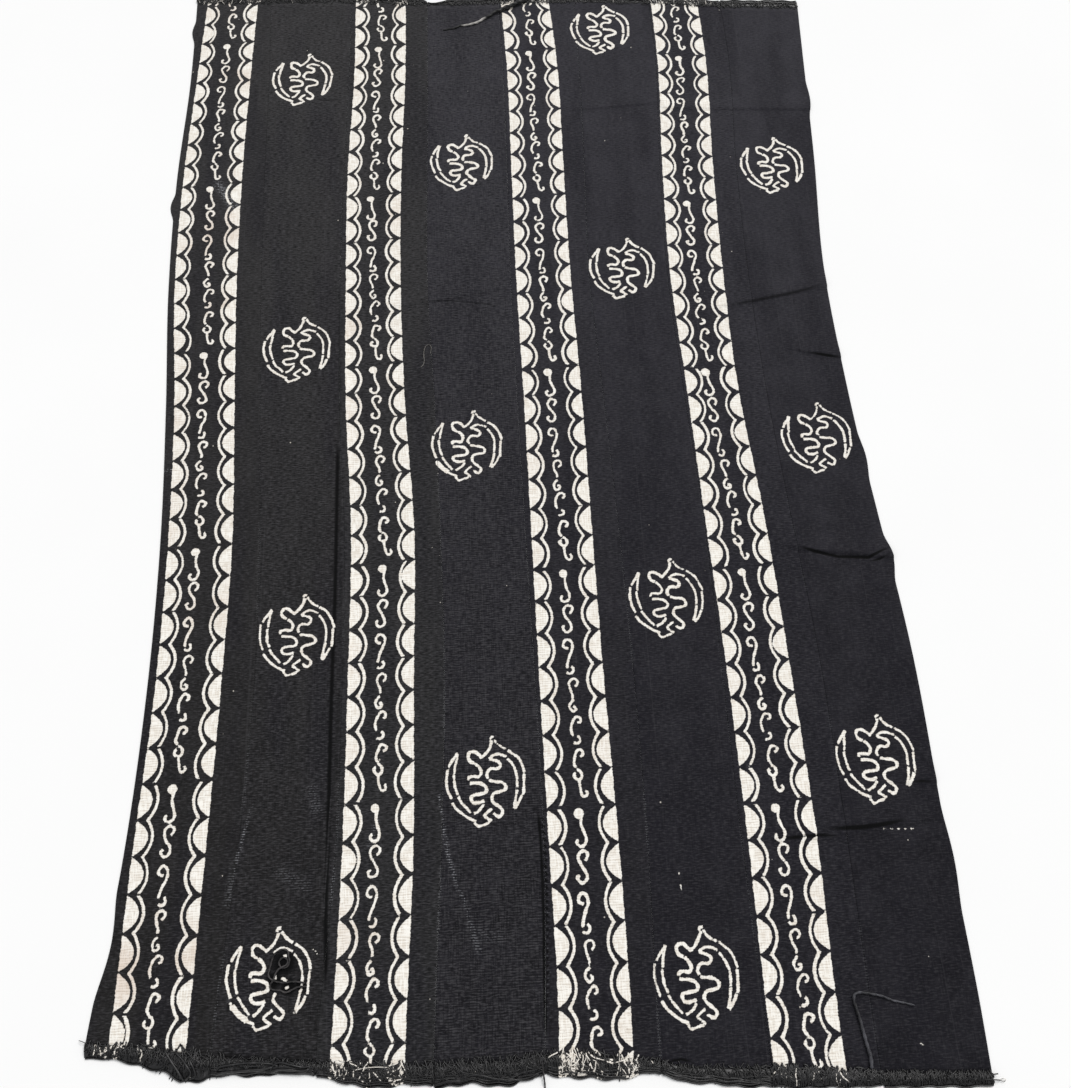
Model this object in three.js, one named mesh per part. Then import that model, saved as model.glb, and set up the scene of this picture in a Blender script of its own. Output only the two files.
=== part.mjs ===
import * as THREE from "three";

// A mud cloth lying flat: eight hand-woven cotton strips sewn edge to edge and dyed black, with the
// cut warp ends left frayed at both short ends, and a few loose threads lying on it.
// Millimetres, +Z up. X runs across the strips from left to right, Y along them from the near end to
// the far end. Y = 0 is 60 mm in from the near left corner, and z = 0 is the surface it lies on.

const THICK = 1.6;               // woven strip
const GAP = 0.3;                 // clear space between neighbouring pieces
const ROWS = 40;                 // steps along a strip
const COLUMNS = 5;               // steps across a strip
const BACKING_WIDTH = 4;         // unravelled band that the frayed ends hang from
const TIP_HEIGHT = 1.2;          // frayed ends, at their tips
const TIP_WIDTH = 1.8;
const ROOT_WIDTH = 3.8;
const STRANDS = { near: 14, far: 12 };  // frayed ends of one strip

const BLACK = 0x1c1b1d;
const FRAYED = 0x232124;
const GREY_YARN = 0x77746f;

// The nine lines that bound the strips, from the left selvedge over the seven seams to the right one.
const WARP_LINES = [
  { y: -150, x: [-556, -398, -272, -130, 3, 145, 278, 408, 541] },
  { y: -40, x: [-547, -394, -266, -125, 10, 147, 277, 409, 543] },
  { y: 160, x: [-524, -377, -250, -114, 19, 153, 275, 412, 541] },
  { y: 380, x: [-513, -367, -246, -106, 18, 154, 276, 413, 540] },
  { y: 600, x: [-513, -370, -247, -108, 15, 151, 276, 404, 530] },
  { y: 820, x: [-523, -380, -259, -114, 13, 145, 269, 396, 521] },
  { y: 1040, x: [-537, -389, -262, -122, 12, 139, 265, 396, 520] },
  { y: 1260, x: [-541, -394, -261, -120, 15, 146, 274, 404, 538] },
  { y: 1480, x: [-534, -396, -255, -117, 17, 152, 288, 419, 552] },
  { y: 1700, x: [-536, -402, -254, -115, 14, 152, 289, 418, 566] },
];

const STRIPS = WARP_LINES[0].x.length - 1;

// Where the selvedges stand out from those lines: curled spots and the ends of creases.
const EDGE_BUMPS = [
  { edge: "left", y: 1600, out: 5, spread: 30 },
  { edge: "left", y: 1208, out: 6, spread: 30 },
  { edge: "right", y: 1388, out: 4, spread: 45 },
  { edge: "right", y: 690, out: 4, spread: 45 },
  { edge: "right", y: 528, out: 6, spread: 40 },
  { edge: "right", y: 110, out: 4, spread: 70 },
];

// The short ends: where the weave stops, how far the frayed ends reach, and how high they pile up.
const ENDS = {
  near: [
    { x: -556, woven: -51, tips: -66, height: 3 },
    { x: -480, woven: -59, tips: -78, height: 4 },
    { x: -430, woven: -67, tips: -100, height: 6 },
    { x: -388, woven: -74, tips: -97, height: 5 },
    { x: -310, woven: -82, tips: -96, height: 5 },
    { x: -264, woven: -86, tips: -101, height: 4 },
    { x: -230, woven: -91, tips: -114, height: 3 },
    { x: -130, woven: -96, tips: -119, height: 3 },
    { x: -30, woven: -96, tips: -122, height: 4 },
    { x: 8, woven: -92, tips: -113, height: 3 },
    { x: 40, woven: -91, tips: -119, height: 3 },
    { x: 100, woven: -100, tips: -124, height: 3 },
    { x: 138, woven: -104, tips: -118, height: 4 },
    { x: 180, woven: -114, tips: -131, height: 4 },
    { x: 280, woven: -120, tips: -142, height: 3 },
    { x: 420, woven: -132, tips: -148, height: 3 },
    { x: 545, woven: -138, tips: -152, height: 3 },
  ],
  far: [
    { x: -536, woven: 1672, tips: 1688, height: 3 },
    { x: -400, woven: 1667, tips: 1683, height: 3 },
    { x: -250, woven: 1660, tips: 1676, height: 2.5 },
    { x: -116, woven: 1646, tips: 1661, height: 2.5 },
    { x: 14, woven: 1643, tips: 1659, height: 2.5 },
    { x: 152, woven: 1640, tips: 1655, height: 2.5 },
    { x: 289, woven: 1630, tips: 1646, height: 3 },
    { x: 418, woven: 1615, tips: 1631, height: 3 },
    { x: 562, woven: 1606, tips: 1624, height: 3 },
  ],
};

// Creases and the raised seam: from one end to the other, how high the cloth lifts, and how far each
// side of the line it does so.
const RIDGES = [
  { name: "raised seam, near", from: [-268, -70], to: [-246, 400], height: 2.6, spread: 16 },
  { name: "raised seam, far", from: [-246, 400], to: [-262, 1030], height: 2.6, spread: 16 },
  { name: "gathered corner", from: [-295, -46], to: [-274, -82], height: 2.4, spread: 18 },
  { name: "far crease, left end", from: [160, 1386], to: [284, 1394], height: 1.6, spread: 34 },
  { name: "far crease, right end", from: [300, 1380], to: [552, 1366], height: 1.8, spread: 34 },
  { name: "middle crease, left end", from: [-156, 994], to: [-20, 1014], height: 1.6, spread: 34 },
  { name: "middle crease, right end", from: [356, 968], to: [522, 998], height: 2.2, spread: 34 },
  { name: "short crease at the right", from: [466, 876], to: [524, 864], height: 2.2, spread: 30 },
  { name: "deep crease at the right", from: [408, 548], to: [540, 528], height: 3.4, spread: 34 },
  { name: "near crease, left end", from: [304, 146], to: [404, 146], height: 2, spread: 34 },
  { name: "near crease, right end", from: [396, 154], to: [504, 158], height: 3, spread: 34 },
  { name: "slight crease at the right", from: [500, 209], to: [545, 208], height: 2, spread: 30 },
];

// Loose threads: the route of each, seen from above. They lie on the cloth, or past its edge on the
// surface below.
const THREADS = {
  thread_far: {
    diameter: 3,
    color: BLACK,
    route: [[66, 1641], [50, 1636], [32, 1628], [14, 1620], [-4, 1612], [-22, 1604], [-38, 1597],
      [-52, 1592], [-66, 1590], [-80, 1587], [-92, 1585]],
  },
  thread_near: {
    diameter: 2.6,
    color: BLACK,
    route: [[397, -126], [398, -114], [396, -102], [394, -88], [392, -74], [390, -61], [388, -51],
      [390, -44], [396, -42], [404, -43], [414, -45], [425, -48], [436, -53], [448, -56], [462, -60]],
  },
  thread_hanging: {
    diameter: 2,
    color: BLACK,
    route: [[3, -99], [3.5, -105], [4, -111], [4.5, -117], [5, -123], [5, -130], [4, -137], [3, -144],
      [2.5, -151], [3, -158]],
  },
  thread_loop: {
    diameter: 1.6,
    color: BLACK,
    route: [[-296, 7], [-299, 3], [-304, -1], [-310, -2], [-317, 2], [-325, 5], [-331, 9], [-333, 14],
      [-330, 18], [-324, 18], [-316, 15], [-308, 14], [-302, 14.5], [-296, 16]],
  },
  thread_hook: {
    diameter: 1.6,
    color: GREY_YARN,
    route: [[-134, 877], [-130, 882], [-128.5, 889], [-129, 896], [-129, 903], [-128, 910], [-125, 916],
      [-120.5, 917.5], [-117.5, 913], [-118, 906], [-118.5, 901]],
  },
};
const THREAD_SIDES = 8;
const THREAD_GAP = 0.5;           // a loose yarn's fuzz keeps it this far off the weave
const STEP_PER_DIAMETER = 2.6;
const COIL = { x: -312, y: 31, radius: 6.4, yarn: 3.2, sides: 6, around: 18 };

function slope(rows, i, value) {
  const a = rows[Math.max(i - 1, 0)];
  const b = rows[Math.min(i + 1, rows.length - 1)];
  return (value(b) - value(a)) / (b.y - a.y);
}

// A smooth line through the rows of a table, with each row's slope taken from its two neighbours.
function smooth(rows, value, y) {
  let i = 0;
  while (i < rows.length - 2 && y > rows[i + 1].y) i += 1;
  const span = rows[i + 1].y - rows[i].y;
  const t = (y - rows[i].y) / span;
  const rise = (value(rows[i + 1]) - value(rows[i])) * t * t * (3 - 2 * t);
  const lead = slope(rows, i, value) * span * t * (1 - t) ** 2;
  const trail = slope(rows, i + 1, value) * span * t * t * (t - 1);
  return value(rows[i]) + rise + lead + trail;
}

function bump(distance, spread) {
  const t = Math.min(Math.abs(distance) / spread, 1);
  return (1 - t * t) ** 2;
}

// X of boundary line k at a given Y.
function lineX(k, y) {
  const selvedge = { 0: "left", [STRIPS]: "right" }[k];
  const outward = k === 0 ? -1 : 1;
  let x = smooth(WARP_LINES, (row) => row.x[k], y);
  for (const spot of EDGE_BUMPS) {
    if (spot.edge === selvedge) x += outward * spot.out * bump(y - spot.y, spot.spread);
  }
  return x;
}

// One column of an end's table at a given X, in straight steps between its rows.
function endValue(end, column, x) {
  const rows = ENDS[end];
  let i = 0;
  while (i < rows.length - 2 && x > rows[i + 1].x) i += 1;
  const t = THREE.MathUtils.clamp((x - rows[i].x) / (rows[i + 1].x - rows[i].x), 0, 1);
  return THREE.MathUtils.lerp(rows[i][column], rows[i + 1][column], t);
}

// How far the cloth is lifted off the surface at a point.
function lift(x, y) {
  let z = 0;
  for (const ridge of RIDGES) {
    const along = new THREE.Vector2(ridge.to[0] - ridge.from[0], ridge.to[1] - ridge.from[1]);
    const reach = new THREE.Vector2(x - ridge.from[0], y - ridge.from[1]);
    const t = THREE.MathUtils.clamp(reach.dot(along) / along.lengthSq(), 0, 1);
    const distance = reach.addScaledVector(along, -t).length();
    z = Math.max(z, ridge.height * bump(distance, ridge.spread));
  }
  return z;
}

// A point of strip k: u runs from its left edge to its right one, v from the near end to the far one.
function stripPoint(k, u, v) {
  const inset = GAP / 2;
  const endX = (y) => THREE.MathUtils.lerp(lineX(k, y), lineX(k + 1, y), u);
  const nearY = endValue("near", "woven", endX(ENDS.near[0].woven));
  const farY = endValue("far", "woven", endX(ENDS.far[0].woven));
  const y = THREE.MathUtils.lerp(nearY, farY, v);
  const x = THREE.MathUtils.lerp(lineX(k, y) + inset, lineX(k + 1, y) - inset, u);
  return { x, y };
}

// Columns lie closer together towards the seams.
function column(u) {
  return 0.5 - 0.5 * Math.cos(Math.PI * u);
}

// A woven strip: a box bent to the two lines that bound it and lifted over the ridges.
function stripGeometry(k) {
  const geometry = new THREE.BoxGeometry(1, 1, 1, COLUMNS, ROWS, 1);
  const position = geometry.attributes.position;
  for (let i = 0; i < position.count; i += 1) {
    const side = position.getZ(i) > 0 ? THICK : 0;
    const { x, y } = stripPoint(k, column(position.getX(i) + 0.5), position.getY(i) + 0.5);
    position.setXYZ(i, x, y, lift(x, y) + side);
  }
  return geometry;
}

// The frayed ends of strip k at one short end: a comb of strands of uneven length and lean on a
// narrow backing, thick at its root and thin at the tips, lying level on the surface.
function fringeGeometry(k, end) {
  const away = end === "near" ? -1 : 1;
  const count = STRANDS[end];
  const v = end === "near" ? 0 : 1;
  const root = (u, out) => {
    const { x, y } = stripPoint(k, u, v);
    return new THREE.Vector2(x, y + away * (GAP + out));
  };
  const outline = new THREE.Shape();
  const first = root(0, 0);
  outline.moveTo(first.x, first.y);
  for (let i = 1; i <= COLUMNS; i += 1) {
    const p = root(column(i / COLUMNS), 0);
    outline.lineTo(p.x, p.y);
  }
  const corner = root(1, BACKING_WIDTH);
  outline.lineTo(corner.x, corner.y);
  for (let i = count - 1; i >= 0; i -= 1) {
    const p = root((i + 0.5) / count, BACKING_WIDTH);
    const uneven = Math.sin(7.3 * i + 3.1 * k);
    const lean = 2.2 * Math.sin(4.1 * i + 1.7 * k);
    const reach = Math.abs(endValue(end, "tips", p.x) - p.y) * (0.86 + 0.14 * uneven);
    outline.lineTo(p.x + ROOT_WIDTH / 2, p.y);
    outline.lineTo(p.x + TIP_WIDTH / 2 + lean, p.y + away * reach);
    outline.lineTo(p.x - TIP_WIDTH / 2 + lean, p.y + away * reach);
    outline.lineTo(p.x - ROOT_WIDTH / 2, p.y);
  }
  const last = root(0, BACKING_WIDTH);
  outline.lineTo(last.x, last.y);
  const geometry = new THREE.ExtrudeGeometry(outline, { depth: 1, bevelEnabled: false });
  const position = geometry.attributes.position;
  for (let i = 0; i < position.count; i += 1) {
    const x = position.getX(i);
    const y = position.getY(i);
    const woven = endValue(end, "woven", x);
    const out = THREE.MathUtils.clamp((away * (y - woven) - BACKING_WIDTH) / BACKING_WIDTH, 0, 1);
    const height = THREE.MathUtils.lerp(endValue(end, "height", x), TIP_HEIGHT, out);
    position.setZ(i, position.getZ(i) > 0.5 ? height : 0);
  }
  return geometry;
}

// The cloth's top at a point, or the surface it lies on past the frayed near end.
function groundHeight(x, y) {
  const woven = endValue("near", "woven", x);
  const tips = endValue("near", "tips", x);
  const pile = endValue("near", "height", x);
  if (y >= woven) return Math.max(lift(x, y) + THICK, pile * bump(y - woven, 12));
  if (y >= tips) return pile;
  return pile * bump(y - tips, 16);
}

// A round yarn of one diameter carried along its route, lying on what is below it.
function threadGeometry({ diameter, route }) {
  const radius = diameter / 2;
  const points = route.map(([x, y]) => new THREE.Vector3(x, y, groundHeight(x, y) + radius + THREAD_GAP));
  const curve = new THREE.CatmullRomCurve3(points);
  const section = new THREE.Shape();
  for (let i = 0; i < THREAD_SIDES; i += 1) {
    const angle = (2 * Math.PI * i) / THREAD_SIDES;
    const corner = [radius * Math.cos(angle), radius * Math.sin(angle)];
    if (i === 0) section.moveTo(...corner);
    else section.lineTo(...corner);
  }
  const steps = Math.round(curve.getLength() / (diameter * STEP_PER_DIAMETER));
  return new THREE.ExtrudeGeometry(section, { steps, extrudePath: curve, bevelEnabled: false });
}

// The tangled end of the looped thread: one ring of the outer shape of its turns.
function coilGeometry() {
  const profile = [];
  for (let i = 0; i <= COIL.sides; i += 1) {
    const angle = (2 * Math.PI * (i % COIL.sides)) / COIL.sides;
    const half = COIL.yarn / 2;
    profile.push(new THREE.Vector2(COIL.radius + half * Math.cos(angle), half * Math.sin(angle)));
  }
  const geometry = new THREE.LatheGeometry(profile, COIL.around);
  geometry.rotateX(Math.PI / 2);
  const z = groundHeight(COIL.x, COIL.y) + COIL.yarn / 2 + THREAD_GAP;
  return geometry.translate(COIL.x, COIL.y, z);
}

const cloth = new THREE.Group();

function piece(name, geometry, color) {
  const material = new THREE.MeshStandardMaterial({ color, roughness: 0.95, metalness: 0 });
  const mesh = new THREE.Mesh(geometry, material);
  mesh.name = name;
  cloth.add(mesh);
}

for (let k = 0; k < STRIPS; k += 1) {
  piece(`strip_${k + 1}`, stripGeometry(k), BLACK);
  piece(`fringe_near_${k + 1}`, fringeGeometry(k, "near"), FRAYED);
  piece(`fringe_far_${k + 1}`, fringeGeometry(k, "far"), FRAYED);
}

// The origin is the middle of the cloth and its frayed ends, on the surface it lies on.
const middle = new THREE.Box3().setFromObject(cloth).getCenter(new THREE.Vector3());
for (const [name, thread] of Object.entries(THREADS)) piece(name, threadGeometry(thread), thread.color);
piece("thread_coil", coilGeometry(), BLACK);
cloth.position.set(-middle.x, -middle.y, 0);

export default cloth;
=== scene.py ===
import bpy
import numpy as np
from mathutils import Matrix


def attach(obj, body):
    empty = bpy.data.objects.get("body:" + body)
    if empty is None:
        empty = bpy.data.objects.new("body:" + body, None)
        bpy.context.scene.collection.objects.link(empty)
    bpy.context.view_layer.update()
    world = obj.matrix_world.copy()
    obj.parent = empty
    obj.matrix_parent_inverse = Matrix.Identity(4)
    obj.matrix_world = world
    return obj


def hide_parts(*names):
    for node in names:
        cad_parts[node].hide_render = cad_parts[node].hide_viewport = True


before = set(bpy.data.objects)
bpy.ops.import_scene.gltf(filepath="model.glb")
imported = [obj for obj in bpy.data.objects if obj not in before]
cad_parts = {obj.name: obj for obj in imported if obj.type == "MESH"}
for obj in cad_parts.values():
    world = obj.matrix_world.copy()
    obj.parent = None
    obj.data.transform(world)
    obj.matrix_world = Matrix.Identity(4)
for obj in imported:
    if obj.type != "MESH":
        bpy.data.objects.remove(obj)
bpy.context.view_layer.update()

# The plan that every table below is written in: millimetres, X across the strips, Y along them, and
# Y = 0 about 60 mm in from the near left corner. The part's own frame has its origin at the middle of
# the cloth, so the plan is moved by this much.
PLAN_TO_PART = np.array([-5.924164, -768.005844, 0.0])


# Camera: hand-held about 1.4 m above the near end and looking down along the cloth, with a lens like
# the one in a phone.
CAMERA_PLACE = (0.0, 0.0, 1406.0)
CAMERA_TILT = np.radians(22.223)
CAMERA_TURN = np.radians(-2.877)
CAMERA_SENSOR = 36.0
CAMERA_LENS = 34.743
CAMERA_SIGHT = 50.0

camera_data = bpy.data.cameras.new("camera")
camera_data.sensor_width = CAMERA_SENSOR
camera_data.lens = CAMERA_LENS
camera_data.clip_end = CAMERA_SIGHT
camera = bpy.data.objects.new("camera", camera_data)
camera.location = (np.array(CAMERA_PLACE) + PLAN_TO_PART) / 1000
camera.rotation_euler = (CAMERA_TILT, 0.0, CAMERA_TURN)
bpy.context.scene.collection.objects.link(camera)
bpy.context.scene.camera = camera


# The lay of the cloth: eight narrow strips of hand-loomed cotton, sewn edge to edge by hand and laid
# flat. These are the nine lines that bound them, the two cut ends, and the places where the cloth
# lifts off the surface, as in the solid model.
WARP_Y = np.array([-150, -40, 160, 380, 600, 820, 1040, 1260, 1480, 1700], float)
WARP_X = np.array([
    [-556, -398, -272, -130, 3, 145, 278, 408, 541],
    [-547, -394, -266, -125, 10, 147, 277, 409, 543],
    [-524, -377, -250, -114, 19, 153, 275, 412, 541],
    [-513, -367, -246, -106, 18, 154, 276, 413, 540],
    [-513, -370, -247, -108, 15, 151, 276, 404, 530],
    [-523, -380, -259, -114, 13, 145, 269, 396, 521],
    [-537, -389, -262, -122, 12, 139, 265, 396, 520],
    [-541, -394, -261, -120, 15, 146, 274, 404, 538],
    [-534, -396, -255, -117, 17, 152, 288, 419, 552],
    [-536, -402, -254, -115, 14, 152, 289, 418, 566],
], float)
STRIPS = WARP_X.shape[1] - 1
EDGE_BUMPS = [
    # line, y, out, spread
    (0, 1600, -5, 30),
    (0, 1208, -6, 30),
    (8, 1388, 4, 45),
    (8, 690, 4, 45),
    (8, 528, 6, 40),
    (8, 110, 4, 70),
    (8, 420, 3, 320),
    (0, 57, 6.5, 70),
]
NEAR_END = np.array([
    # x, woven, tips, height
    (-556, -51, -66, 3), (-480, -59, -78, 4), (-430, -67, -100, 6), (-388, -74, -97, 5),
    (-310, -82, -96, 5), (-264, -86, -101, 4), (-230, -91, -114, 3), (-130, -96, -119, 3),
    (-30, -96, -122, 4), (8, -92, -113, 3), (40, -91, -119, 3), (100, -100, -124, 3),
    (138, -104, -118, 4), (180, -114, -131, 4), (280, -120, -142, 3), (420, -132, -148, 3),
    (545, -138, -152, 3),
], float)
FAR_END = np.array([
    (-536, 1672, 1688, 3), (-400, 1667, 1683, 3), (-250, 1660, 1676, 2.5), (-116, 1646, 1661, 2.5),
    (14, 1643, 1659, 2.5), (152, 1640, 1655, 2.5), (289, 1630, 1646, 3), (418, 1615, 1631, 3),
    (562, 1606, 1624, 3),
], float)
WOVEN, TIPS, PILE = 1, 2, 3
RIDGES = [
    # from x, from y, to x, to y, height, spread
    (-268, -70, -246, 400, 2.6, 16),
    (-246, 400, -262, 1030, 2.6, 16),
    (-295, -46, -274, -82, 2.4, 18),
    (160, 1386, 284, 1394, 1.6, 34),
    (300, 1380, 552, 1366, 1.8, 34),
    (-156, 994, -20, 1014, 1.6, 34),
    (356, 968, 522, 998, 2.2, 34),
    (466, 876, 524, 864, 2.2, 30),
    (408, 548, 540, 528, 3.4, 34),
    (304, 146, 404, 146, 2.0, 34),
    (396, 154, 504, 158, 3.0, 34),
    (500, 209, 545, 208, 2.0, 30),
]
THICK = 1.6
SEAM_GAP = 0.3


def smooth(knots, values, at):
    """Cubic Hermite line through the knots. Each slope is the chord of the two neighbouring knots."""
    slope = np.empty(len(knots))
    slope[1:-1] = (values[2:] - values[:-2]) / (knots[2:] - knots[:-2])
    slope[0] = (values[1] - values[0]) / (knots[1] - knots[0])
    slope[-1] = (values[-1] - values[-2]) / (knots[-1] - knots[-2])
    i = np.clip(np.searchsorted(knots, at) - 1, 0, len(knots) - 2)
    span = knots[i + 1] - knots[i]
    t = (at - knots[i]) / span
    rise = (values[i + 1] - values[i]) * t * t * (3 - 2 * t)
    return values[i] + rise + span * (slope[i] * t * (1 - t) ** 2 + slope[i + 1] * t * t * (t - 1))


def bump(distance, spread):
    """A smooth hump that is 1 at no distance and 0 from the spread outwards: (1 - t^2)^2."""
    t = np.minimum(np.abs(distance) / spread, 1)
    return (1 - t * t) ** 2


def warp_line(k, y):
    """X of boundary line k at Y: the smooth line through its knots, with the selvedge's bumps."""
    x = smooth(WARP_Y, WARP_X[:, k], y)
    for line, at, out, spread in EDGE_BUMPS:
        if line == k:
            x = x + out * bump(y - at, spread)
    return x


def end_value(end, column, x):
    """One column of a cut end's table at X, straight between its rows."""
    return np.interp(x, end[:, 0], end[:, column])


def distance_to_segment(x, y, ax, ay, bx, by):
    """Distance of each point to the straight segment from a to b."""
    t = ((x - ax) * (bx - ax) + (y - ay) * (by - ay)) / ((bx - ax) ** 2 + (by - ay) ** 2)
    t = np.clip(t, 0, 1)
    return np.hypot(x - ax - t * (bx - ax), y - ay - t * (by - ay))


def lift(x, y, steep=1.0):
    """Height of the cloth's underside. Each ridge is a hump whose nearer or left side is the given
    number of times steeper, as where a fold has been pressed over."""
    z = np.zeros(np.shape(x))
    for ax, ay, bx, by, height, spread in RIDGES:
        distance = distance_to_segment(x, y, ax, ay, bx, by)
        beyond = (bx - ax) * (y - ay) - (by - ay) * (x - ax) >= 0
        if by - ay > bx - ax:
            beyond = ~beyond
        z = np.maximum(z, height * bump(distance, np.where(beyond, spread, spread / steep)))
    return z


def strip_plan(k, u, v):
    """Plan point of strip k. u goes from its left line to its right one, v from near end to far end."""
    def end_x(y):
        return warp_line(k, y) * (1 - u) + warp_line(k + 1, y) * u
    near_y = end_value(NEAR_END, WOVEN, end_x(np.array(NEAR_END[0, WOVEN])))
    far_y = end_value(FAR_END, WOVEN, end_x(np.array(FAR_END[0, WOVEN])))
    y = near_y * (1 - v) + far_y * v
    left = warp_line(k, y) + SEAM_GAP / 2
    right = warp_line(k + 1, y) - SEAM_GAP / 2
    return left * (1 - u) + right * u, y


# The painted pattern on strips 1, 3, 5 and 7: a band with a row of pale half moons along each side, a
# wavy line that follows them, and a column of curls down the middle. It was put on through one
# stencil of seven half moons, moved along the strip by hand, so the lines break at each move.
BAND_SIDES = {
    # strip: left and right side of the band at each Y of the warp's table
    0: [(-527, -430), (-519, -425), (-512.5, -418), (-502, -411.7), (-501.5, -409), (-510, -418.5),
        (-527, -428), (-530, -431.5), (-523, -429), (-515, -424)],
    2: [(-255, -164.5), (-249.5, -159.5), (-242, -150), (-238.5, -148), (-237.5, -146), (-249, -159),
        (-253, -165), (-254, -163.5), (-246, -156), (-246, -154.5)],
    4: [(20, 111), (26, 115), (25, 115.6), (24, 112.5), (23.7, 112), (23, 112),
        (21, 109), (22.5, 110.8), (24, 113.5), (17, 104)],
    6: [(281, 367), (280.5, 367.5), (283, 373), (282.5, 370.3), (278, 365), (274.3, 353.4),
        (269.7, 355.5), (278.5, 364.5), (292, 378), (293, 377)],
}
STENCIL_MOVES = {
    # strip: Y of each move at the band's left side, and at its right side
    0: [(-392, -406), (-66, -80), (256, 258), (592, 596), (922, 928), (1248, 1254), (1570, 1572),
        (1892, 1895)],
    2: [(-445, -449), (-115, -119), (216, 222), (552, 558), (882, 889), (1214, 1220), (1550, 1552),
        (1886, 1888)],
    4: [(-468, -468), (-138, -138), (198, 200), (533, 536), (866, 870), (1196, 1204), (1528, 1528),
        (1860, 1860)],
    6: [(-464, -464), (-134, -134), (192, 194), (522, 526), (856, 856), (1184, 1178), (1508, 1498),
        (1832, 1825)],
}
DOT_X = {
    # strip: X of the round dot that starts the curls, at each move from the second on
    0: [-478, -467, -461, -472, -484, -475, -471],
    2: [-209, -200, -192, -208, -215, -204, -203],
    4: [64, 66, 66, 62, 61, 64, 60],
    6: [324, 324, 321, 306, 311, 330, 334],
}
MOONS = 7
MOON_DEPTH = 17.4
MOON_GAP = 1.9
MOON_POWER = 2.15
LINE_CUSP = 13.6
LINE_CREST = 23.0
LINE_WIDTH = 3.8
CURL_WIDTH = 3.5
END_REACH = 0.7
STENCIL_LENGTH = 333.0
DOT_DROP = 9.0
DOT_RADIUS = 6.3
# Depth given to points with no paint near them.
UNPAINTED = -50.0
CURLS = [
    # one stroke each, in millimetres to the right of the dot and nearer than it
    [(3, 2), (2, 13), (4, 22), (7, 30), (7, 36), (4, 40.5), (-1, 41.5), (-4.5, 38.5), (-5, 35), (-3, 33)],
    [(5, 58.5), (8, 55), (8.5, 50.5), (5.5, 47.5), (1, 47.5), (-2.5, 50.5), (-4, 55), (-2.5, 61), (0.5, 66.5),
     (4, 71.5), (6, 77.5), (4.5, 83.5), (-0.5, 86), (-4.5, 83.5), (-6, 79), (-3, 77)],
    [(0, 110.5), (-4.5, 109.5), (-6.5, 105.5), (-5, 101), (-1, 98), (3, 99.5), (5.5, 104.5), (5.5, 110.5),
     (3.5, 117.5), (0.5, 124.5), (-1.5, 131.5), (-2.5, 138.5)],
    [(-2.5, 144.5), (1, 146), (5, 144.5), (6, 139.5), (4, 136)],
    [(6, 163), (9, 160), (9.5, 155.5), (5.5, 152.5), (1.5, 153.5), (-1.5, 157.5), (-2, 162.5), (0, 168),
     (2, 174), (2.5, 179.5)],
    [(2.5, 184.5), (-1, 188), (-3, 192.5), (-2, 197.5), (1.5, 200.5), (5, 198.5), (5.5, 194.5), (2.5, 193.5)],
    [(7, 214.5), (10.5, 213), (10.5, 208.5), (6.5, 206), (3, 207.5), (0, 212), (-2.5, 217.5), (-3, 224.5),
     (-1, 231)],
    [(0, 241.5), (3.5, 242.5), (7.5, 240), (7.5, 235), (5, 233.5)],
    [(8, 260), (11.5, 258.5), (12, 254.5), (8, 251.5), (3.5, 252.5), (1, 258.5), (-0.5, 264), (-1, 270),
     (1.5, 274.5)],
    [(2.5, 276.5), (6.5, 279), (8.5, 284), (7, 289), (2.5, 290), (-1, 287.5), (-2.5, 283.5), (0, 281.5)],
    [(4, 292), (4.5, 299.5), (5.5, 306), (8, 311.5), (12, 311), (14, 307.5), (12, 304)],
]


def rounded(stroke, steps=4):
    """Points along a Catmull-Rom line through a stroke's points."""
    p = np.asarray(stroke, float)
    p = np.vstack([2 * p[0] - p[1], p, 2 * p[-1] - p[-2]])
    t = (np.arange(steps) / steps)[None, :, None]
    a, b, c, d = (p[i:len(p) - 3 + i, None, :] for i in range(4))
    bend, twist = 2 * a - 5 * b + 4 * c - d, 3 * b - a - 3 * c + d
    line = 0.5 * (2 * b + (c - a) * t + bend * t * t + twist * t ** 3)
    return np.vstack([line.reshape(-1, p.shape[1]), p[-2:-1]])


def stroke_depth(x, y, strokes, width, wobble):
    """How deep each point lies inside the nearest stroke, in millimetres, and below 0 outside them."""
    depth = np.full(x.shape, UNPAINTED)
    for stroke, broad, uneven in zip(strokes, width, wobble):
        line = rounded(stroke)
        near = (x > line[:, 0].min() - 6) & (x < line[:, 0].max() + 6)
        near &= (y > line[:, 1].min() - 6) & (y < line[:, 1].max() + 6)
        if not near.any():
            continue
        a, b = line[:-1], line[1:]
        px, py = x[near][:, None], y[near][:, None]
        gap = distance_to_segment(px, py, a[:, 0], a[:, 1], b[:, 0], b[:, 1])
        half = broad / 2 + uneven * np.sin(np.arange(len(a)) * 0.9 + 9 * uneven)
        inside = (half - gap).max(axis=1)
        for tip, inner in ((line[0], line[1]), (line[-1], line[-2])):
            outward = (tip - inner) / np.linalg.norm(tip - inner)
            past = (px[:, 0] - tip[0]) * outward[0] + (py[:, 0] - tip[1]) * outward[1]
            close = np.hypot(px[:, 0] - tip[0], py[:, 0] - tip[1]) < broad
            inside = np.where(close, np.minimum(inside, END_REACH - past), inside)
        depth[near] = np.maximum(depth[near], inside)
    return depth


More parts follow.
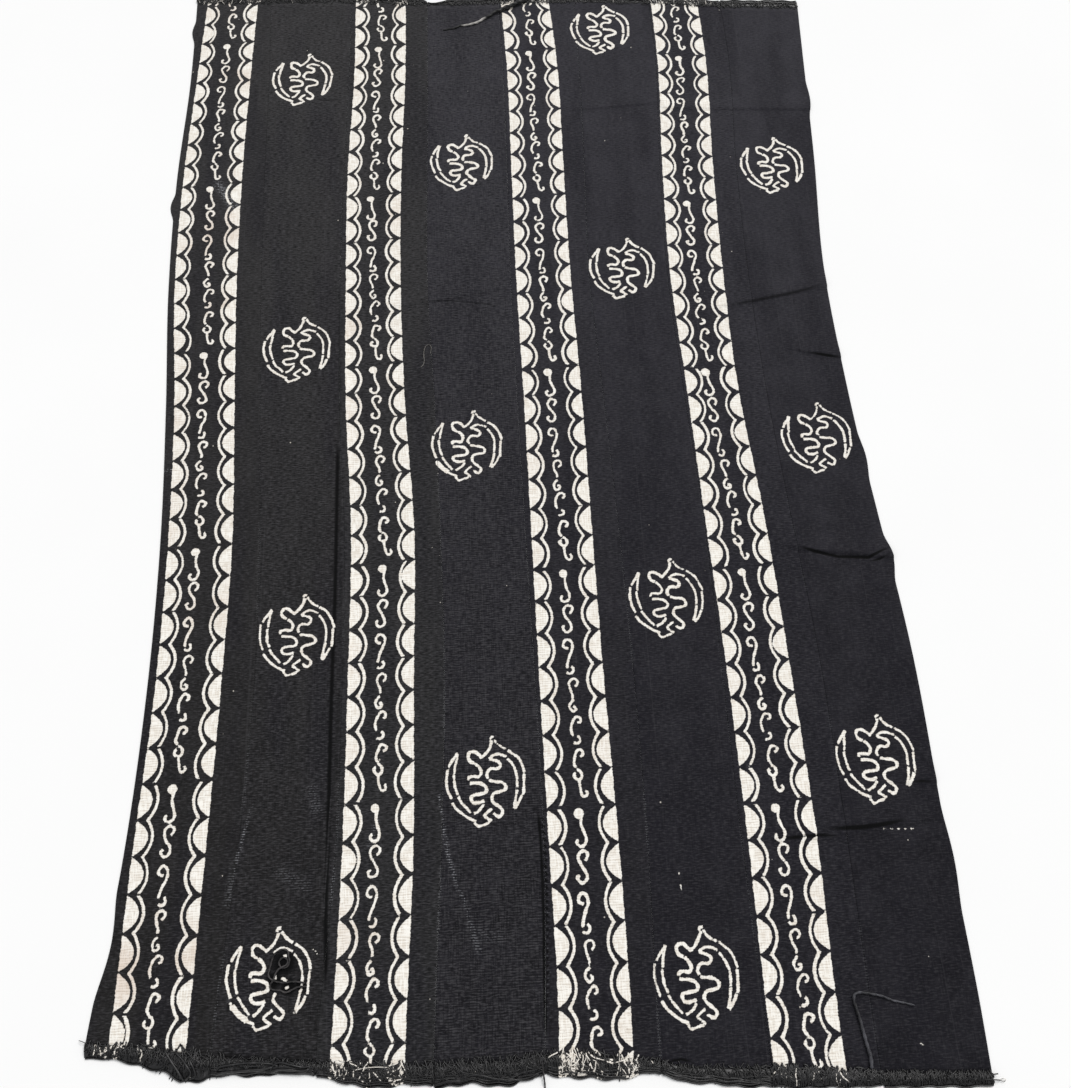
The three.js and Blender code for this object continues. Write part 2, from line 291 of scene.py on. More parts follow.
def band_ink(k, x, y, rng):
    """Depth inside the pale paint of a banded strip. A half moon is the hump depth (1 - t^2.15)
    on the band's side, the wavy line is a hump 1 - t^2 further in, and the curls are strokes."""
    sides = np.array(BAND_SIDES[k], float)
    left = smooth(WARP_Y, sides[:, 0], y)
    right = smooth(WARP_Y, sides[:, 1], y)
    moves = np.array(STENCIL_MOVES[k], float)
    across = np.clip((x - left) / (right - left), 0, 1)
    ink = np.full(x.shape, UNPAINTED)
    repeats = len(moves) - 1
    for repeat in range(repeats):
        near = moves[repeat, 0] * (1 - across) + moves[repeat, 1] * across
        far = moves[repeat + 1, 0] * (1 - across) + moves[repeat + 1, 1] * across
        inside = (y >= near) & (y < far)
        if not inside.any():
            continue
        pitch = (far - near)[inside] / MOONS
        place = (far[inside] - y[inside]) / pitch
        moon = np.clip(place.astype(int), 0, MOONS - 1)
        along = (place - moon - 0.5) * pitch
        depth = np.full(along.shape, UNPAINTED)
        for side in (0, 1):
            inward = (x - left)[inside] if side == 0 else (right - x)[inside]
            moon_depth = MOON_DEPTH + rng.normal(0, 0.5, MOONS)[moon]
            half = pitch / 2 - MOON_GAP / 2 + rng.normal(0, 0.35, MOONS)[moon]
            t = (along - rng.normal(0, 0.45, MOONS)[moon]) / half
            edge = moon_depth * (1 - np.abs(t) ** MOON_POWER)
            steep = moon_depth * MOON_POWER * np.abs(t) ** (MOON_POWER - 1) / half
            full = (edge - inward) / np.sqrt(1 + steep ** 2)
            uneven = 0.25 * np.sin(y[inside] * 0.31 + 5 * side) + 0.25 * np.sin(y[inside] * 0.093 + k)
            depth = np.maximum(depth, np.minimum(full, inward + uneven))
            crest = LINE_CREST + rng.normal(0, 0.45, MOONS)[moon]
            cusp = LINE_CUSP + rng.normal(0, 0.3, MOONS)[moon]
            settle = rng.uniform(-1.5, 3.5) * np.exp(-place / 0.7)
            settle = settle + rng.uniform(-2.5, 4) * np.exp(-(MOONS - place) / 0.7)
            t = along / (pitch / 2)
            wave = cusp + (crest - cusp) * (1 - t * t) + settle
            steep = 2 * (crest - cusp) * t / (pitch / 2)
            width = LINE_WIDTH / 2 + rng.normal(0, 0.18, MOONS)[moon]
            line = width - np.abs(inward - wave) / np.sqrt(1 + steep ** 2)
            cut = np.minimum(place, MOONS - place) * pitch - rng.uniform(0.8, 2.8)
            for cusp_break in rng.choice(np.arange(1, MOONS), 2, replace=False):
                cut = np.minimum(cut, np.abs(place - cusp_break) * pitch - rng.uniform(0.2, 1.6))
            depth = np.maximum(depth, np.minimum(line, cut))
        ink[inside] = depth
        stretch = (moves[repeat + 1].mean() - moves[repeat].mean()) / STENCIL_LENGTH
        dot_y = moves[repeat + 1].mean() - DOT_DROP
        lean = (DOT_X[k][repeat] - DOT_X[k][max(repeat - 1, 0)]) / (STENCIL_LENGTH * stretch)
        cx = x - DOT_X[k][repeat] - lean * (y - dot_y)
        cy = (dot_y - y) / stretch
        column = (np.abs(cx - 2) < 24) & (cy > -12) & (cy < STENCIL_LENGTH)
        if column.any():
            curls = [np.array(c) + rng.normal(0, 0.3, (len(c), 2)) + rng.normal(0, 0.5, 2) for c in CURLS]
            wide = CURL_WIDTH + rng.normal(0, 0.25, len(curls))
            drawn = stroke_depth(cx[column], cy[column], curls, wide, rng.uniform(0.05, 0.3, len(curls)))
            dot = DOT_RADIUS + rng.normal(0, 0.3) - np.hypot(cx[column], cy[column] * rng.uniform(0.95, 1.1))
            ink[column] = np.maximum(ink[column], np.maximum(drawn, dot))
    return ink


# The emblem on strips 2, 4, 6 and 8: an old sign of two crescents round two wavy stems, drawn in a
# double outline through a cut stencil whose bridges leave the small breaks in its lines.
EMBLEM_PLACES = {
    1: [(-337, 1479), (-327, 921), (-311, 454), (-330, 11)],
    3: [(-61, 1279), (-66, 739), (-54, 239)],
    5: [(196, 1571), (193, 1049), (210, 483), (199, -14)],
    7: [(464, 1247), (461, 726), (467, 243)],
}
EMBLEM_SCALE = 1.025
EMBLEM_TURN = np.radians(1.2)
EMBLEM_REACH = (58, 64)
CRESCENT_WIDTH = 3.2
STEM_WIDTH = 3.8
FLECK_WIDTH = 1.4
CRESCENTS = [
    # strokes in millimetres to the right of the emblem's middle and farther than it
    [(-35.5, 37), (-39.5, 31), (-43.5, 25.5), (-46.5, 20)],
    [(-49, 16), (-50.5, 7), (-50.5, -1), (-48.5, -11), (-45, -20)],
    [(-44, -26), (-39.5, -33.5), (-32.5, -40), (-24, -46), (-14.5, -50.5)],
    [(-16, -52.5), (-13.5, -56), (-11, -57.5), (-3.5, -55), (2, -53.5)],
    [(5, -51.5), (0.5, -48), (-3.5, -44.5), (0.5, -40.5), (6, -36.5)],
    [(-35, 36), (-37, 27.5), (-39, 19), (-39.5, 12)],
    [(-41, 9), (-40.5, 0), (-39, -8.5), (-36.5, -16)],
    [(-36, -19.5), (-31.5, -27.5), (-25.5, -34.5), (-21, -39.5)],
    [(-16.5, -41), (-11, -38.5), (-7, -34.5), (-4, -30)],
    [(9.5, 50.5), (7.5, 43), (2.5, 35.5), (-4, 29.5)],
    [(8, 52.5), (9, 55.5), (12.5, 55.5)],
    [(13.5, 52), (17, 46.5), (22, 42), (28, 39)],
    [(31, 37), (38.5, 31.5), (44, 25.5), (47.5, 17.5), (50.5, 7.5)],
    [(49.5, 5), (49, -6), (47.5, -19.5)],
    [(45.5, -22), (41, -31), (35.5, -37.5)],
    [(6, 28), (10.5, 31.5), (18, 33), (28, 29)],
    [(30, 25.5), (35.5, 18), (39.5, 8), (40.5, -1), (40, -11.5)],
    [(39.5, -14.5), (37.5, -25), (34.5, -36.5)],
]
STEMS = [
    [(-4, 29.5), (-8, 33.5), (-13.5, 37.5), (-19, 37), (-21.5, 32.5), (-19.5, 26), (-14.5, 23)],
    [(-12.5, 22), (-7.5, 17), (-5.5, 10.5), (-9, 5.5), (-15.5, 6), (-21, 5.5), (-22, 2)],
    [(-20, -2), (-11, -2.5), (-3.5, -5), (0.5, -10.5), (-1.5, -15.5), (-9.5, -17), (-17.5, -18), (-20, -22),
     (-17, -26.5), (-9.5, -27.5), (-3.5, -26)],
    [(6.5, 27.5), (11, 25.5), (17.5, 22.5), (19.5, 18), (15.5, 14), (8, 14.5), (3.5, 11.5), (1.5, 6.5),
     (3, 2.5)],
    [(5, -0.5), (12.5, -2), (20.5, -3.5), (25.5, -8), (24.5, -13.5), (16.5, -15.5), (9.5, -17.5), (7, -24),
     (10, -29.5), (15.5, -34.5), (20, -39.5), (18, -45), (14.5, -46.5), (9, -42.5)],
]
SPOILT = {
    # strip and emblem: stems that a dark spill covers, then what shows instead, with each width
    (1, 3): ([3, 4], [
        (3.4, [(18.5, 25), (19.5, 22.5)]),
        (3.0, [(8, 3), (8.8, -1.5)]),
        (3.6, [(17, -1), (21.5, -4)]),
        (2.6, [(22, -13), (24.5, -10.5)]),
        (3.6, [(9.5, -17.5), (7, -24), (10, -29.5), (15.5, -34.5), (20, -39.5), (18, -45), (14.5, -46.5),
               (9, -42.5)]),
        (6.5, [(-42, -30), (-34, -39), (-24, -46)])]),
    (3, 1): ([], [(6.0, [(-43, -28), (-36, -37), (-28, -43)])]),
}
FLECKS = {
    # strip: small dashes of pale paint or bared weft, from and to in the plan
    1: [[(-277, 42), (-275, 40.5)], [(-273.6, 39), (-271.6, 38.2)], [(-298.5, -30.4), (-293.7, -30.6)],
        [(-271, 36), (-270, 34)]],
    5: [[(189.7, 109.1), (189.9, 107.3)], [(189.9, 94.4), (190.6, 88.7)]],
    7: [[(460, 150.8), (465, 150.4)], [(470, 150.2), (473, 150)], [(478, 149.7), (483, 149.6)],
        [(488.5, 149.3), (491, 149.1)], [(496, 148.9), (499.7, 148.8)], [(461, -102), (465, -104)]],
}


def emblem_ink(k, x, y, rng):
    """Depth inside the pale lines of the emblems of a plain strip, each a little turned and uneven."""
    ink = np.full(x.shape, UNPAINTED)
    for place, (place_x, place_y) in enumerate(EMBLEM_PLACES[k]):
        turn = rng.normal(0, EMBLEM_TURN)
        ex, ey = (x - place_x) / EMBLEM_SCALE, (y - place_y) / EMBLEM_SCALE
        ex, ey = ex * np.cos(turn) + ey * np.sin(turn), ey * np.cos(turn) - ex * np.sin(turn)
        near = (np.abs(ex) < EMBLEM_REACH[0]) & (np.abs(ey) < EMBLEM_REACH[1])
        covered, instead = SPOILT.get((k, place), ([], []))
        stems = [stem for i, stem in enumerate(STEMS) if i not in covered]
        strokes = CRESCENTS + stems + [stroke for broad, stroke in instead]
        strokes = [np.array(s) + rng.normal(0, 0.3, (len(s), 2)) for s in strokes]
        width = np.r_[np.full(len(CRESCENTS), CRESCENT_WIDTH), np.full(len(stems), STEM_WIDTH),
                      [broad for broad, stroke in instead]]
        width = width + rng.normal(0, 0.3, len(width)) + np.interp(place_y, [700, 1500], [0, 0.7])
        drawn = stroke_depth(ex[near], ey[near], strokes, width, rng.uniform(0.05, 0.35, len(width)))
        ink[near] = np.maximum(ink[near], drawn)
    flecks = FLECKS.get(k, [])
    drawn = stroke_depth(x, y, flecks, [FLECK_WIDTH] * len(flecks), [0.2] * len(flecks))
    return np.maximum(ink, drawn)


# The cloth's finish: cotton woven by hand from uneven spun yarn, dyed black except where the pale
# paint lies, dry and matt. The weave is a plain one of about 14 by 11 threads to the centimetre.
def new_tree(name):
    """A new material, its node tree and its Principled shader, which already feeds the output."""
    material = bpy.data.materials.new(name)
    material.use_nodes = True
    tree = material.node_tree
    return material, tree, tree.nodes["Principled BSDF"]


def add(tree, kind, inputs=None, **settings):
    """A node with its settings, and each named input set to a number or linked to another socket."""
    node = tree.nodes.new("ShaderNode" + kind)
    for name, value in settings.items():
        setattr(node, name, value)
    for name, value in (inputs or {}).items():
        socket = node.inputs[name]
        if isinstance(value, bpy.types.NodeSocket):
            tree.links.new(value, socket)
        else:
            socket.default_value = value
    return node


def math(tree, operation, *values):
    """The result of a Math node on numbers or sockets."""
    return add(tree, "Math", dict(enumerate(values)), operation=operation).outputs[0]


def mix(tree, factor, first, second):
    """The colour between two colours by a factor."""
    node = add(tree, "Mix", {0: factor, 6: first, 7: second}, data_type="RGBA", clamp_factor=True)
    return node.outputs[2]


def ramp(tree, value, low, high, to_low=0.0, to_high=1.0):
    """A value carried smoothly from one range to another."""
    inputs = {"Value": value, "From Min": low, "From Max": high, "To Min": to_low, "To Max": to_high}
    return add(tree, "MapRange", inputs, interpolation_type="SMOOTHSTEP").outputs[0]


def rgb(red, green, blue):
    """A screen colour from 0 to 255 as the linear one that a shader takes."""
    c = np.array([red, green, blue]) / 255
    linear = np.where(c <= 0.04045, c / 12.92, ((c + 0.055) / 1.055) ** 2.4)
    return (*linear.tolist(), 1.0)


def noise(tree, place, scale, detail, **settings):
    """Fractal noise from 0 to 1 over a place, with a grain of one over the scale."""
    inputs = {"Vector": place, "Scale": scale, "Detail": detail, **settings}
    return add(tree, "TexNoise", inputs).outputs["Fac"]


def streaks(tree, place, across, along, detail):
    """Noise with a scale of its own across and along the strip, which draws it out one way."""
    drawn_out = add(tree, "Mapping", {"Vector": place, "Scale": (across, along, 1.0)})
    return noise(tree, drawn_out.outputs[0], 1.0, detail)


def thread_row(tree, way, pitch, bend, sway):
    """Sine of a row of threads, one turn in each pitch along its way, swayed by slow noise."""
    turn = math(tree, "MULTIPLY_ADD", way, 2 * np.pi / pitch, math(tree, "MULTIPLY", bend, sway))
    return math(tree, "SINE", turn)


def carried(tree, name):
    """The value of that name which the mesh carries at each point."""
    return add(tree, "Attribute", attribute_name=name).outputs["Fac"]


def dress(tree, shader, colour, height, relief, roughness, specular):
    """Feeds a shader its colour, its roughness, and its relief, a strength and a depth in metres."""
    strength, depth = relief
    bumps = add(tree, "Bump", {"Height": height, "Strength": strength, "Distance": depth})
    tree.links.new(colour, shader.inputs["Base Color"])
    tree.links.new(bumps.outputs[0], shader.inputs["Normal"])
    tree.links.new(roughness, shader.inputs["Roughness"])
    shader.inputs["Specular IOR Level"].default_value = specular


WARP_PITCH = 0.00145
WEFT_PITCH = 0.0018
RIB_PITCH = 0.0032


def weave_group():
    """Plain weave: the sine of the warp times the sine of the weft, bent by slow noise, and the uneven
    yarns as streaks of noise drawn out along the warp and along the weft."""
    group = bpy.data.node_groups.new("hand weave", "ShaderNodeTree")
    face = group.interface
    face.new_socket("Place", in_out="INPUT", socket_type="NodeSocketVector")
    face.new_socket("Rib", in_out="INPUT", socket_type="NodeSocketFloat")
    for name in ("Height", "Yarn", "Patch", "Ribs", "Warp", "Fleck"):
        face.new_socket(name, in_out="OUTPUT", socket_type="NodeSocketFloat")
    start = group.nodes.new("NodeGroupInput")
    end = group.nodes.new("NodeGroupOutput")
    place = start.outputs["Place"]
    bend = noise(group, place, 90.0, 1.0)
    split = add(group, "SeparateXYZ", {"Vector": place})
    warp = thread_row(group, split.outputs["X"], WARP_PITCH, bend, 7.0)
    weft = thread_row(group, split.outputs["Y"], WEFT_PITCH, bend, 9.0)
    ribs = thread_row(group, split.outputs["Y"], RIB_PITCH, bend, 5.0)
    warp_yarn = streaks(group, place, 560.0, 60.0, 2.0)
    weft_yarn = streaks(group, place, 70.0, 480.0, 2.0)
    yarn = math(group, "ADD", warp_yarn, weft_yarn)
    plain = math(group, "MULTIPLY_ADD", math(group, "MULTIPLY", warp, weft), 0.3, yarn)
    speck = add(group, "TexVoronoi", {"Vector": place, "Scale": 95.0})
    pick = add(group, "SeparateColor", {"Color": speck.outputs["Color"]})
    rare = math(group, "GREATER_THAN", pick.outputs[0], 0.965)
    dot = math(group, "LESS_THAN", speck.outputs["Distance"], math(group, "MULTIPLY", pick.outputs[1], 0.12))
    links = {
        "Height": math(group, "ADD", plain, math(group, "MULTIPLY", ribs, start.outputs["Rib"])),
        "Yarn": math(group, "MULTIPLY", yarn, 0.5),
        "Patch": noise(group, place, 22.0, 3.0, Roughness=0.6),
        "Ribs": math(group, "MULTIPLY_ADD", ribs, 0.5, 0.5),
        "Warp": ramp(group, streaks(group, place, 310.0, 1.6, 1.0), 0.62, 0.78),
        "Fleck": math(group, "MULTIPLY", rare, dot),
    }
    for name, socket in links.items():
        group.links.new(socket, end.inputs[name])
    return group


WEAVE = weave_group()
PALE = rgb(250, 247, 240)
PALE_WORN = rgb(233, 226, 215)
PALE_GROOVE = rgb(164, 152, 140)
PALE_SPECK = rgb(130, 122, 114)
STAIN = rgb(205, 178, 158)
DYE_AND_FOLD_SHADE = rgb(24, 23, 30)
# Paler black of worn yarn, also used as the painted highlight on the rib crowns.
WORN_AND_LIT_BLACK = rgb(70, 69, 72)
# Painted shade for the gaps between yarns.
SHADE_BETWEEN_YARNS = rgb(12, 12, 14)
SCUFFED_AND_LIT = rgb(196, 198, 204)
# Black of the spill, also the painted shade in the creases and between the rope's turns.
SPILL_AND_SHADE_BLACK = rgb(4, 4, 5)


def cloth_material(name, black, faded_and_sheen, rib, slubby, stained):
    """Black ground and pale paint by the depth of the ink, whose edge the uneven yarns make ragged."""
    material, tree, shader = new_tree(name)
    place = add(tree, "TexCoord").outputs["Object"]
    weave = add(tree, "Group", node_tree=WEAVE)
    tree.links.new(place, weave.inputs["Place"])
    weave.inputs["Rib"].default_value = rib
    yarn, patch, ribs = (weave.outputs[name] for name in ("Yarn", "Patch", "Ribs"))
    grain = noise(tree, place, 420.0, 2.0)
    along = add(tree, "SeparateXYZ", {"Vector": place}).outputs["Y"]
    # Lighter towards the far end: painted sheen of the grazing view there, added to the faded patches.
    far_painted_sheen = ramp(tree, along, -0.95, 0.9, 0.0, 0.75)
    fading_and_sheen = math(tree, "MULTIPLY_ADD", ramp(tree, patch, 0.3, 0.75), 0.3, far_painted_sheen)
    # Long bluish darker streaks along the strip: partly uneven dye, partly painted shade of the cloth's soft
    # folds.
    dye_and_fold_shade = streaks(tree, place, 17.0, 3.0, 3.0)
    # The slub streaks: the paler ones are worn yarn, the darker ones painted shade in the gaps between yarns.
    slub = streaks(tree, place, 150.0, 560.0, 3.0)
    # Paler crowns on the weft ribs: partly wear, partly painted highlight.
    rib_wear_and_highlight = math(tree, "MULTIPLY", ribs, ramp(tree, yarn, 0.42, 0.66, 0.0, rib))
    crown = math(tree, "MULTIPLY", ramp(tree, ribs, 0.5, 0.9), ramp(tree, grain, 0.42, 0.6))
    # Scuffs on the rib crowns, and the painted highlight on the crowns of the rope's turns.
    scuff_and_highlight = math(tree, "MULTIPLY", carried(tree, "wear_and_highlight"), crown)
    ground = mix(tree, fading_and_sheen, black, faded_and_sheen)
    for share, colour in [
            (ramp(tree, dye_and_fold_shade, 0.44, 0.66, 0.0, 0.5), DYE_AND_FOLD_SHADE),
            (ramp(tree, yarn, 0.48, 0.72, 0.0, 0.14), WORN_AND_LIT_BLACK),
            (ramp(tree, slub, 0.5, 0.68, 0.0, 0.42 * slubby), WORN_AND_LIT_BLACK),
            (ramp(tree, slub, 0.5, 0.34, 0.0, 0.6 * slubby), SHADE_BETWEEN_YARNS),
            (rib_wear_and_highlight, WORN_AND_LIT_BLACK),
            (math(tree, "MULTIPLY", weave.outputs["Warp"], 0.16), WORN_AND_LIT_BLACK),
            (math(tree, "MULTIPLY", scuff_and_highlight, 0.6), SCUFFED_AND_LIT),
            (math(tree, "MULTIPLY", weave.outputs["Fleck"], 0.5), PALE_WORN),
            # The dark spill, and the painted shade in the creases and in the rope's valleys.
            (ramp(tree, carried(tree, "spill_and_shade"), 0.0, 0.75), SPILL_AND_SHADE_BLACK)]:
        ground = mix(tree, share, ground, colour)
    stains = noise(tree, place, 9.0, 3.0)
    grooves = math(tree, "MULTIPLY", ramp(tree, ribs, 0.35, 0.0), ramp(tree, yarn, 0.62, 0.44))
    light = mix(tree, ramp(tree, yarn, 0.4, 0.58), PALE_WORN, PALE)
    for share, colour in [
            (ramp(tree, stains, 0.5, 0.75, 0.0, stained), STAIN),
            (math(tree, "MULTIPLY", grooves, 0.42), PALE_GROOVE),
            (ramp(tree, grain, 0.62, 0.74, 0.0, 0.35), PALE_SPECK)]:
        light = mix(tree, share, light, colour)
    ragged = math(tree, "MULTIPLY_ADD", math(tree, "SUBTRACT", grain, 0.5), 2.4, carried(tree, "ink"))
    colour = mix(tree, ramp(tree, ragged, -0.35, 0.45), ground, light)
    roughness = ramp(tree, yarn, 0.3, 0.7, 0.97, 0.86)
    dress(tree, shader, colour, weave.outputs["Height"], (0.42, 0.0004), roughness, 0.14)
    shader.inputs["Sheen Weight"].default_value = 0.05
    shader.inputs["Sheen Roughness"].default_value = 0.5
    return material


# Woven strips: each is a closed sheet 1.6 mm thick, fine enough on top to carry the edge of the paint.
# The selvedges thin and dip a little into the seams, and the seams' stitches pucker the cloth.
BAND_COLUMNS = 50
EMBLEM_COLUMNS = 72
EDGE_STEPS = np.array([0.0, 0.9, 2.4])
# Three emblems were painted partly over the seam, onto the right margin of the strip beside theirs,
# which has its columns closer there, at these distances from its edge.
PAINTED_OVER = {2: [3.8, 5.3, 6.8, 8.3, 9.8], 4: [3.8, 5.3, 6.8, 8.3, 9.8, 11.3]}
BAND_ROW = 2.3
EMBLEM_ROW = 1.8
PLAIN_ROW = 7.5
CREASE_ROW = 1.6
CREASE_STEEP = 6.0
UNDER_COLUMNS = np.array([0, 0.04, 0.13, 0.5, 0.87, 0.96, 1.0])
GROUND_BLACK = [rgb(27, 26, 26), rgb(26, 25, 26), rgb(36, 36, 37), rgb(19, 18, 22),
                rgb(26, 25, 29), rgb(22, 21, 27), rgb(25, 24, 30), rgb(19, 18, 24)]
# The colours the black goes towards in its faded patches and, towards the far end, as painted sheen.
FADED_AND_SHEEN_NEUTRAL = rgb(50, 49, 50)
FADED_AND_SHEEN_BLUISH = rgb(50, 49, 55)
FADED_AND_SHEEN_BLACK = [FADED_AND_SHEEN_NEUTRAL] * 3 + [FADED_AND_SHEEN_BLUISH] * 5
RIB_STRENGTH = [0.06, 0.24, 0.08, 0.75, 0.08, 0.12, 0.08, 0.1]
SLUB_STRENGTH = [1.0, 1.4, 1.3, 1.25, 0.9, 0.75, 0.9, 0.6]
STAIN_STRENGTH = [0.45, 0.1, 0.25, 0.1, 0.15, 0.1, 0.1, 0.1]
SCUFFS = [
    # from x, from y, to x, to y, spread, how strong
    (-115.5, 222, -111, 181.5, 2.5, 0.8),
    (-111, 181.5, -105, 145, 4, 0.85),
    (-105, 145, -95.5, 108.5, 3.6, 0.75),
    (-95.5, 108.5, -84, 86, 3.2, 0.55),
    (-84, 86, -78.5, 57.5, 5, 0.4),
    (-78.5, 57.5, -69, 29, 8, 0.35),
    (-76, 52, -44, 44, 11, 0.2),
    (-520, 718, -506, 718, 4, 1.0),
    (-470, 1250, -440, 1200, 12, 1.0),
    (-361.5, 221, -368, 193, 3, 0.4),
    (-368, 193, -378, 151, 3.4, 0.7),
    (-378, 151, -384, 99, 3, 0.4),
    (-284, 240, -277, 212, 12, 0.24),
    (-321, 136, -287, 115, 12, 0.22),
    (-251, 140, -255, 93, 3, 0.5),
    (-197, 195, -210, 158, 6, 0.25),
]
SEAM_WEAR = [0, 0.35, 0.3, 0.4, 0.2, 0.3, 0.2, 0.16]
SEAM_WEAR_REACH = 2.0
SPILLS = [
    # x, y, spread
    (-311, 27, 24),
    (-323, 8, 16),
    (-304, -1, 16),
    (-290, 1, 12),
]
CREASES = [
    # a fold pressed down: how wide its foot is, how dark the shade painted on it, and the line it follows
    (4.4, 1.0, [(385.7, 154.5), (403.8, 154.3), (428, 153.9), (449.5, 155.1), (471, 157.6), (492.7, 161)]),
    (3.4, 0.9, [(321, 144.8), (360.4, 146.2), (381.4, 146.9), (402, 143.6)]),
    (3.2, 0.9, [(505.1, 209.6), (523.3, 208.7), (539.9, 207)]),
    (5.0, 0.5, [(353.6, 966), (387.2, 972.2), (420.9, 978.3), (454.8, 984.4), (485.7, 991.5),
                (518.6, 1000.9)]),
    (3.2, 0.95, [(468, 874.5), (480.8, 871.8), (499.3, 867.1), (521.1, 862.3)]),
    (3.4, 1.0, [(405.9, 550.1), (430.7, 541), (462.6, 531.7), (505.5, 528), (524.3, 536.3), (538.4, 541.9)]),
    (2.8, 0.95, [(504.4, 521.8), (522.5, 525.6), (536.5, 531.1)]),
    (2.2, 0.6, [(-319.5, 1433.2), (-296.6, 1427.5), (-265.3, 1428.2)]),
    (3.0, 0.4, [(-134.4, 998), (-86.5, 999.4), (-7.1, 985.9)]),
    (5.0, 0.75, [(-257.4, -17.8), (-260.9, 75), (-260.8, 173), (-260.7, 276), (-260.6, 358), (-259.7, 443),
                 (-258.9, 502), (-258.8, 563), (-259.4, 658), (-260, 758)]),
    (3.0, 0.85, [(9, -75), (10.5, -9), (13, 49), (14.4, 109), (14.6, 159), (13, 200)]),
    (2.3, 1.0, [(151, -109), (159, -106), (170, -105), (180, -107), (187, -111)]),
]
# The near part of the middle seam is whipped over, which makes it a low rope.
ROPE_STRIPS = (3, 4)
ROPE_LINE = np.array([(14, -75), (15.5, -9), (18, 49), (19.4, 109), (19.6, 159), (18, 200)], float)
ROPE_HALF = 4.2
ROPE_HEIGHT = 1.4
ROPE_TURN = 8.5
ROPE_ROW = 2.4
SELVEDGE_THINNING = 0.45
SELVEDGE_REACH = 1.1
WAVE_HEIGHT = 0.07
WAVES = 7
PUCKER_HEIGHT = 0.16
PUCKER_PITCH = 13.0
CREASE_DEPTH = 0.8
ROW_STEP = 0.5


def crease_at(x, y):
    """How deep each point lies in a crease, from 0 to 1: a hump across its line, faded at both ends."""
    depth = np.zeros(x.shape)
    for width, strength, line in CREASES:
        line = np.array(line, float)
        lengthwise = np.ptp(line[:, 1]) > np.ptp(line[:, 0])
        run, across = (y, x) if lengthwise else (x, y)
        knots, values = (line[:, 1], line[:, 0]) if lengthwise else (line[:, 0], line[:, 1])
        offset = across - np.interp(run, knots, values)
        fade = np.clip(np.minimum(run - knots[0], knots[-1] - run) / (8 * width) + 0.2, 0, 1)
        depth = np.maximum(depth, strength * fade * bump(offset, width))
    return depth


def row_places(k):
    """Where a strip's rows lie, as shares of its length: close together where there is paint."""
    near_y, far_y = (strip_plan(k, np.array(0.5), np.array(v))[1] for v in (0.0, 1.0))
    if k in BAND_SIDES:
        return np.linspace(0, 1, int((far_y - near_y) / BAND_ROW))
    fine = np.arange(near_y, far_y, ROW_STEP)
    pitch = np.full(fine.shape, PLAIN_ROW)
    for place_x, place_y in EMBLEM_PLACES[k]:
        pitch[np.abs(fine - place_y) < EMBLEM_REACH[1]] = EMBLEM_ROW
    left, right = warp_line(k, fine), warp_line(k + 1, fine)
    for ax, ay, bx, by, height, spread in RIDGES:
        if abs(by - ay) < abs(bx - ax):
            at = (ay + by) / 2
            crossed = (bx > left) & (ax < right) & (np.abs(fine - at) < abs(by - ay) / 2 + 7)
            pitch[crossed] = np.minimum(pitch[crossed], CREASE_ROW)
    marks = [line for width, strength, line in CREASES if np.ptp(np.array(line)[:, 1]) < 60]
    for line in marks + FLECKS.get(k, []):
        line = np.array(line)
        crossed = (line[:, 0].max() > left) & (line[:, 0].min() < right)
        crossed &= (fine > line[:, 1].min() - 4) & (fine < line[:, 1].max() + 4)
        pitch[crossed] = np.minimum(pitch[crossed], CREASE_ROW)
    if k in ROPE_STRIPS:
        roped = (fine > ROPE_LINE[0, 1]) & (fine < ROPE_LINE[-1, 1])
        pitch[roped] = np.minimum(pitch[roped], ROPE_ROW)
    count = np.cumsum(ROW_STEP / pitch)
    rows = np.interp(np.arange(0, count[-1]), count, fine)
    return np.r_[0, (rows[1:-1] - near_y) / (far_y - near_y), 1]


def column_places(k, v):
    """Shares of a strip's width for each row. On a banded strip they keep to the band's two sides."""
    y = strip_plan(k, np.full(v.shape, 0.5), v)[1]
    left, right = warp_line(k, y) + SEAM_GAP / 2, warp_line(k + 1, y) - SEAM_GAP / 2
    width = (right - left)[:, None]
    rim = EDGE_STEPS[None, :] / width
    if k not in BAND_SIDES:
        inner = np.linspace(0, 1, EMBLEM_COLUMNS)[None, 1:-1]
        inner = rim[:, -1:] + inner * (1 - 2 * rim[:, -1:])
        return np.hstack([rim, inner, 1 - rim[:, ::-1]])
    sides = np.array(BAND_SIDES[k], float)
    a = (smooth(WARP_Y, sides[:, 0], y) - 0.8 - left)[:, None] / width
    b = (smooth(WARP_Y, sides[:, 1], y) + 0.8 - left)[:, None] / width
    a = np.maximum(a, rim[:, -1:] + 0.02)
    right_rim = np.r_[EDGE_STEPS, PAINTED_OVER.get(k, [])][None, :] / width
    before = rim[:, -1:] + (a - rim[:, -1:]) * np.array([[0.35, 0.7]])
    band = a + (b - a) * np.linspace(0, 1, BAND_COLUMNS + 1)[None, :]
    after = b + (1 - right_rim[:, -1:] - b) * np.array([[0.25, 0.5, 0.75]])
    return np.hstack([rim, before, band, after, 1 - right_rim[:, ::-1]])


def rope_at(x, y):
    """The whipped seam's round body, 1 along its middle, and its stitches' turns, a sine from -1 to 1."""
    offset = x - np.interp(y, ROPE_LINE[:, 1], ROPE_LINE[:, 0])
    fade = np.clip(np.minimum(y - ROPE_LINE[0, 1], ROPE_LINE[-1, 1] - y) / 25, 0, 1)
    return fade * bump(offset, ROPE_HALF), np.sin(2 * np.pi * (y + 0.7 * offset) / ROPE_TURN)


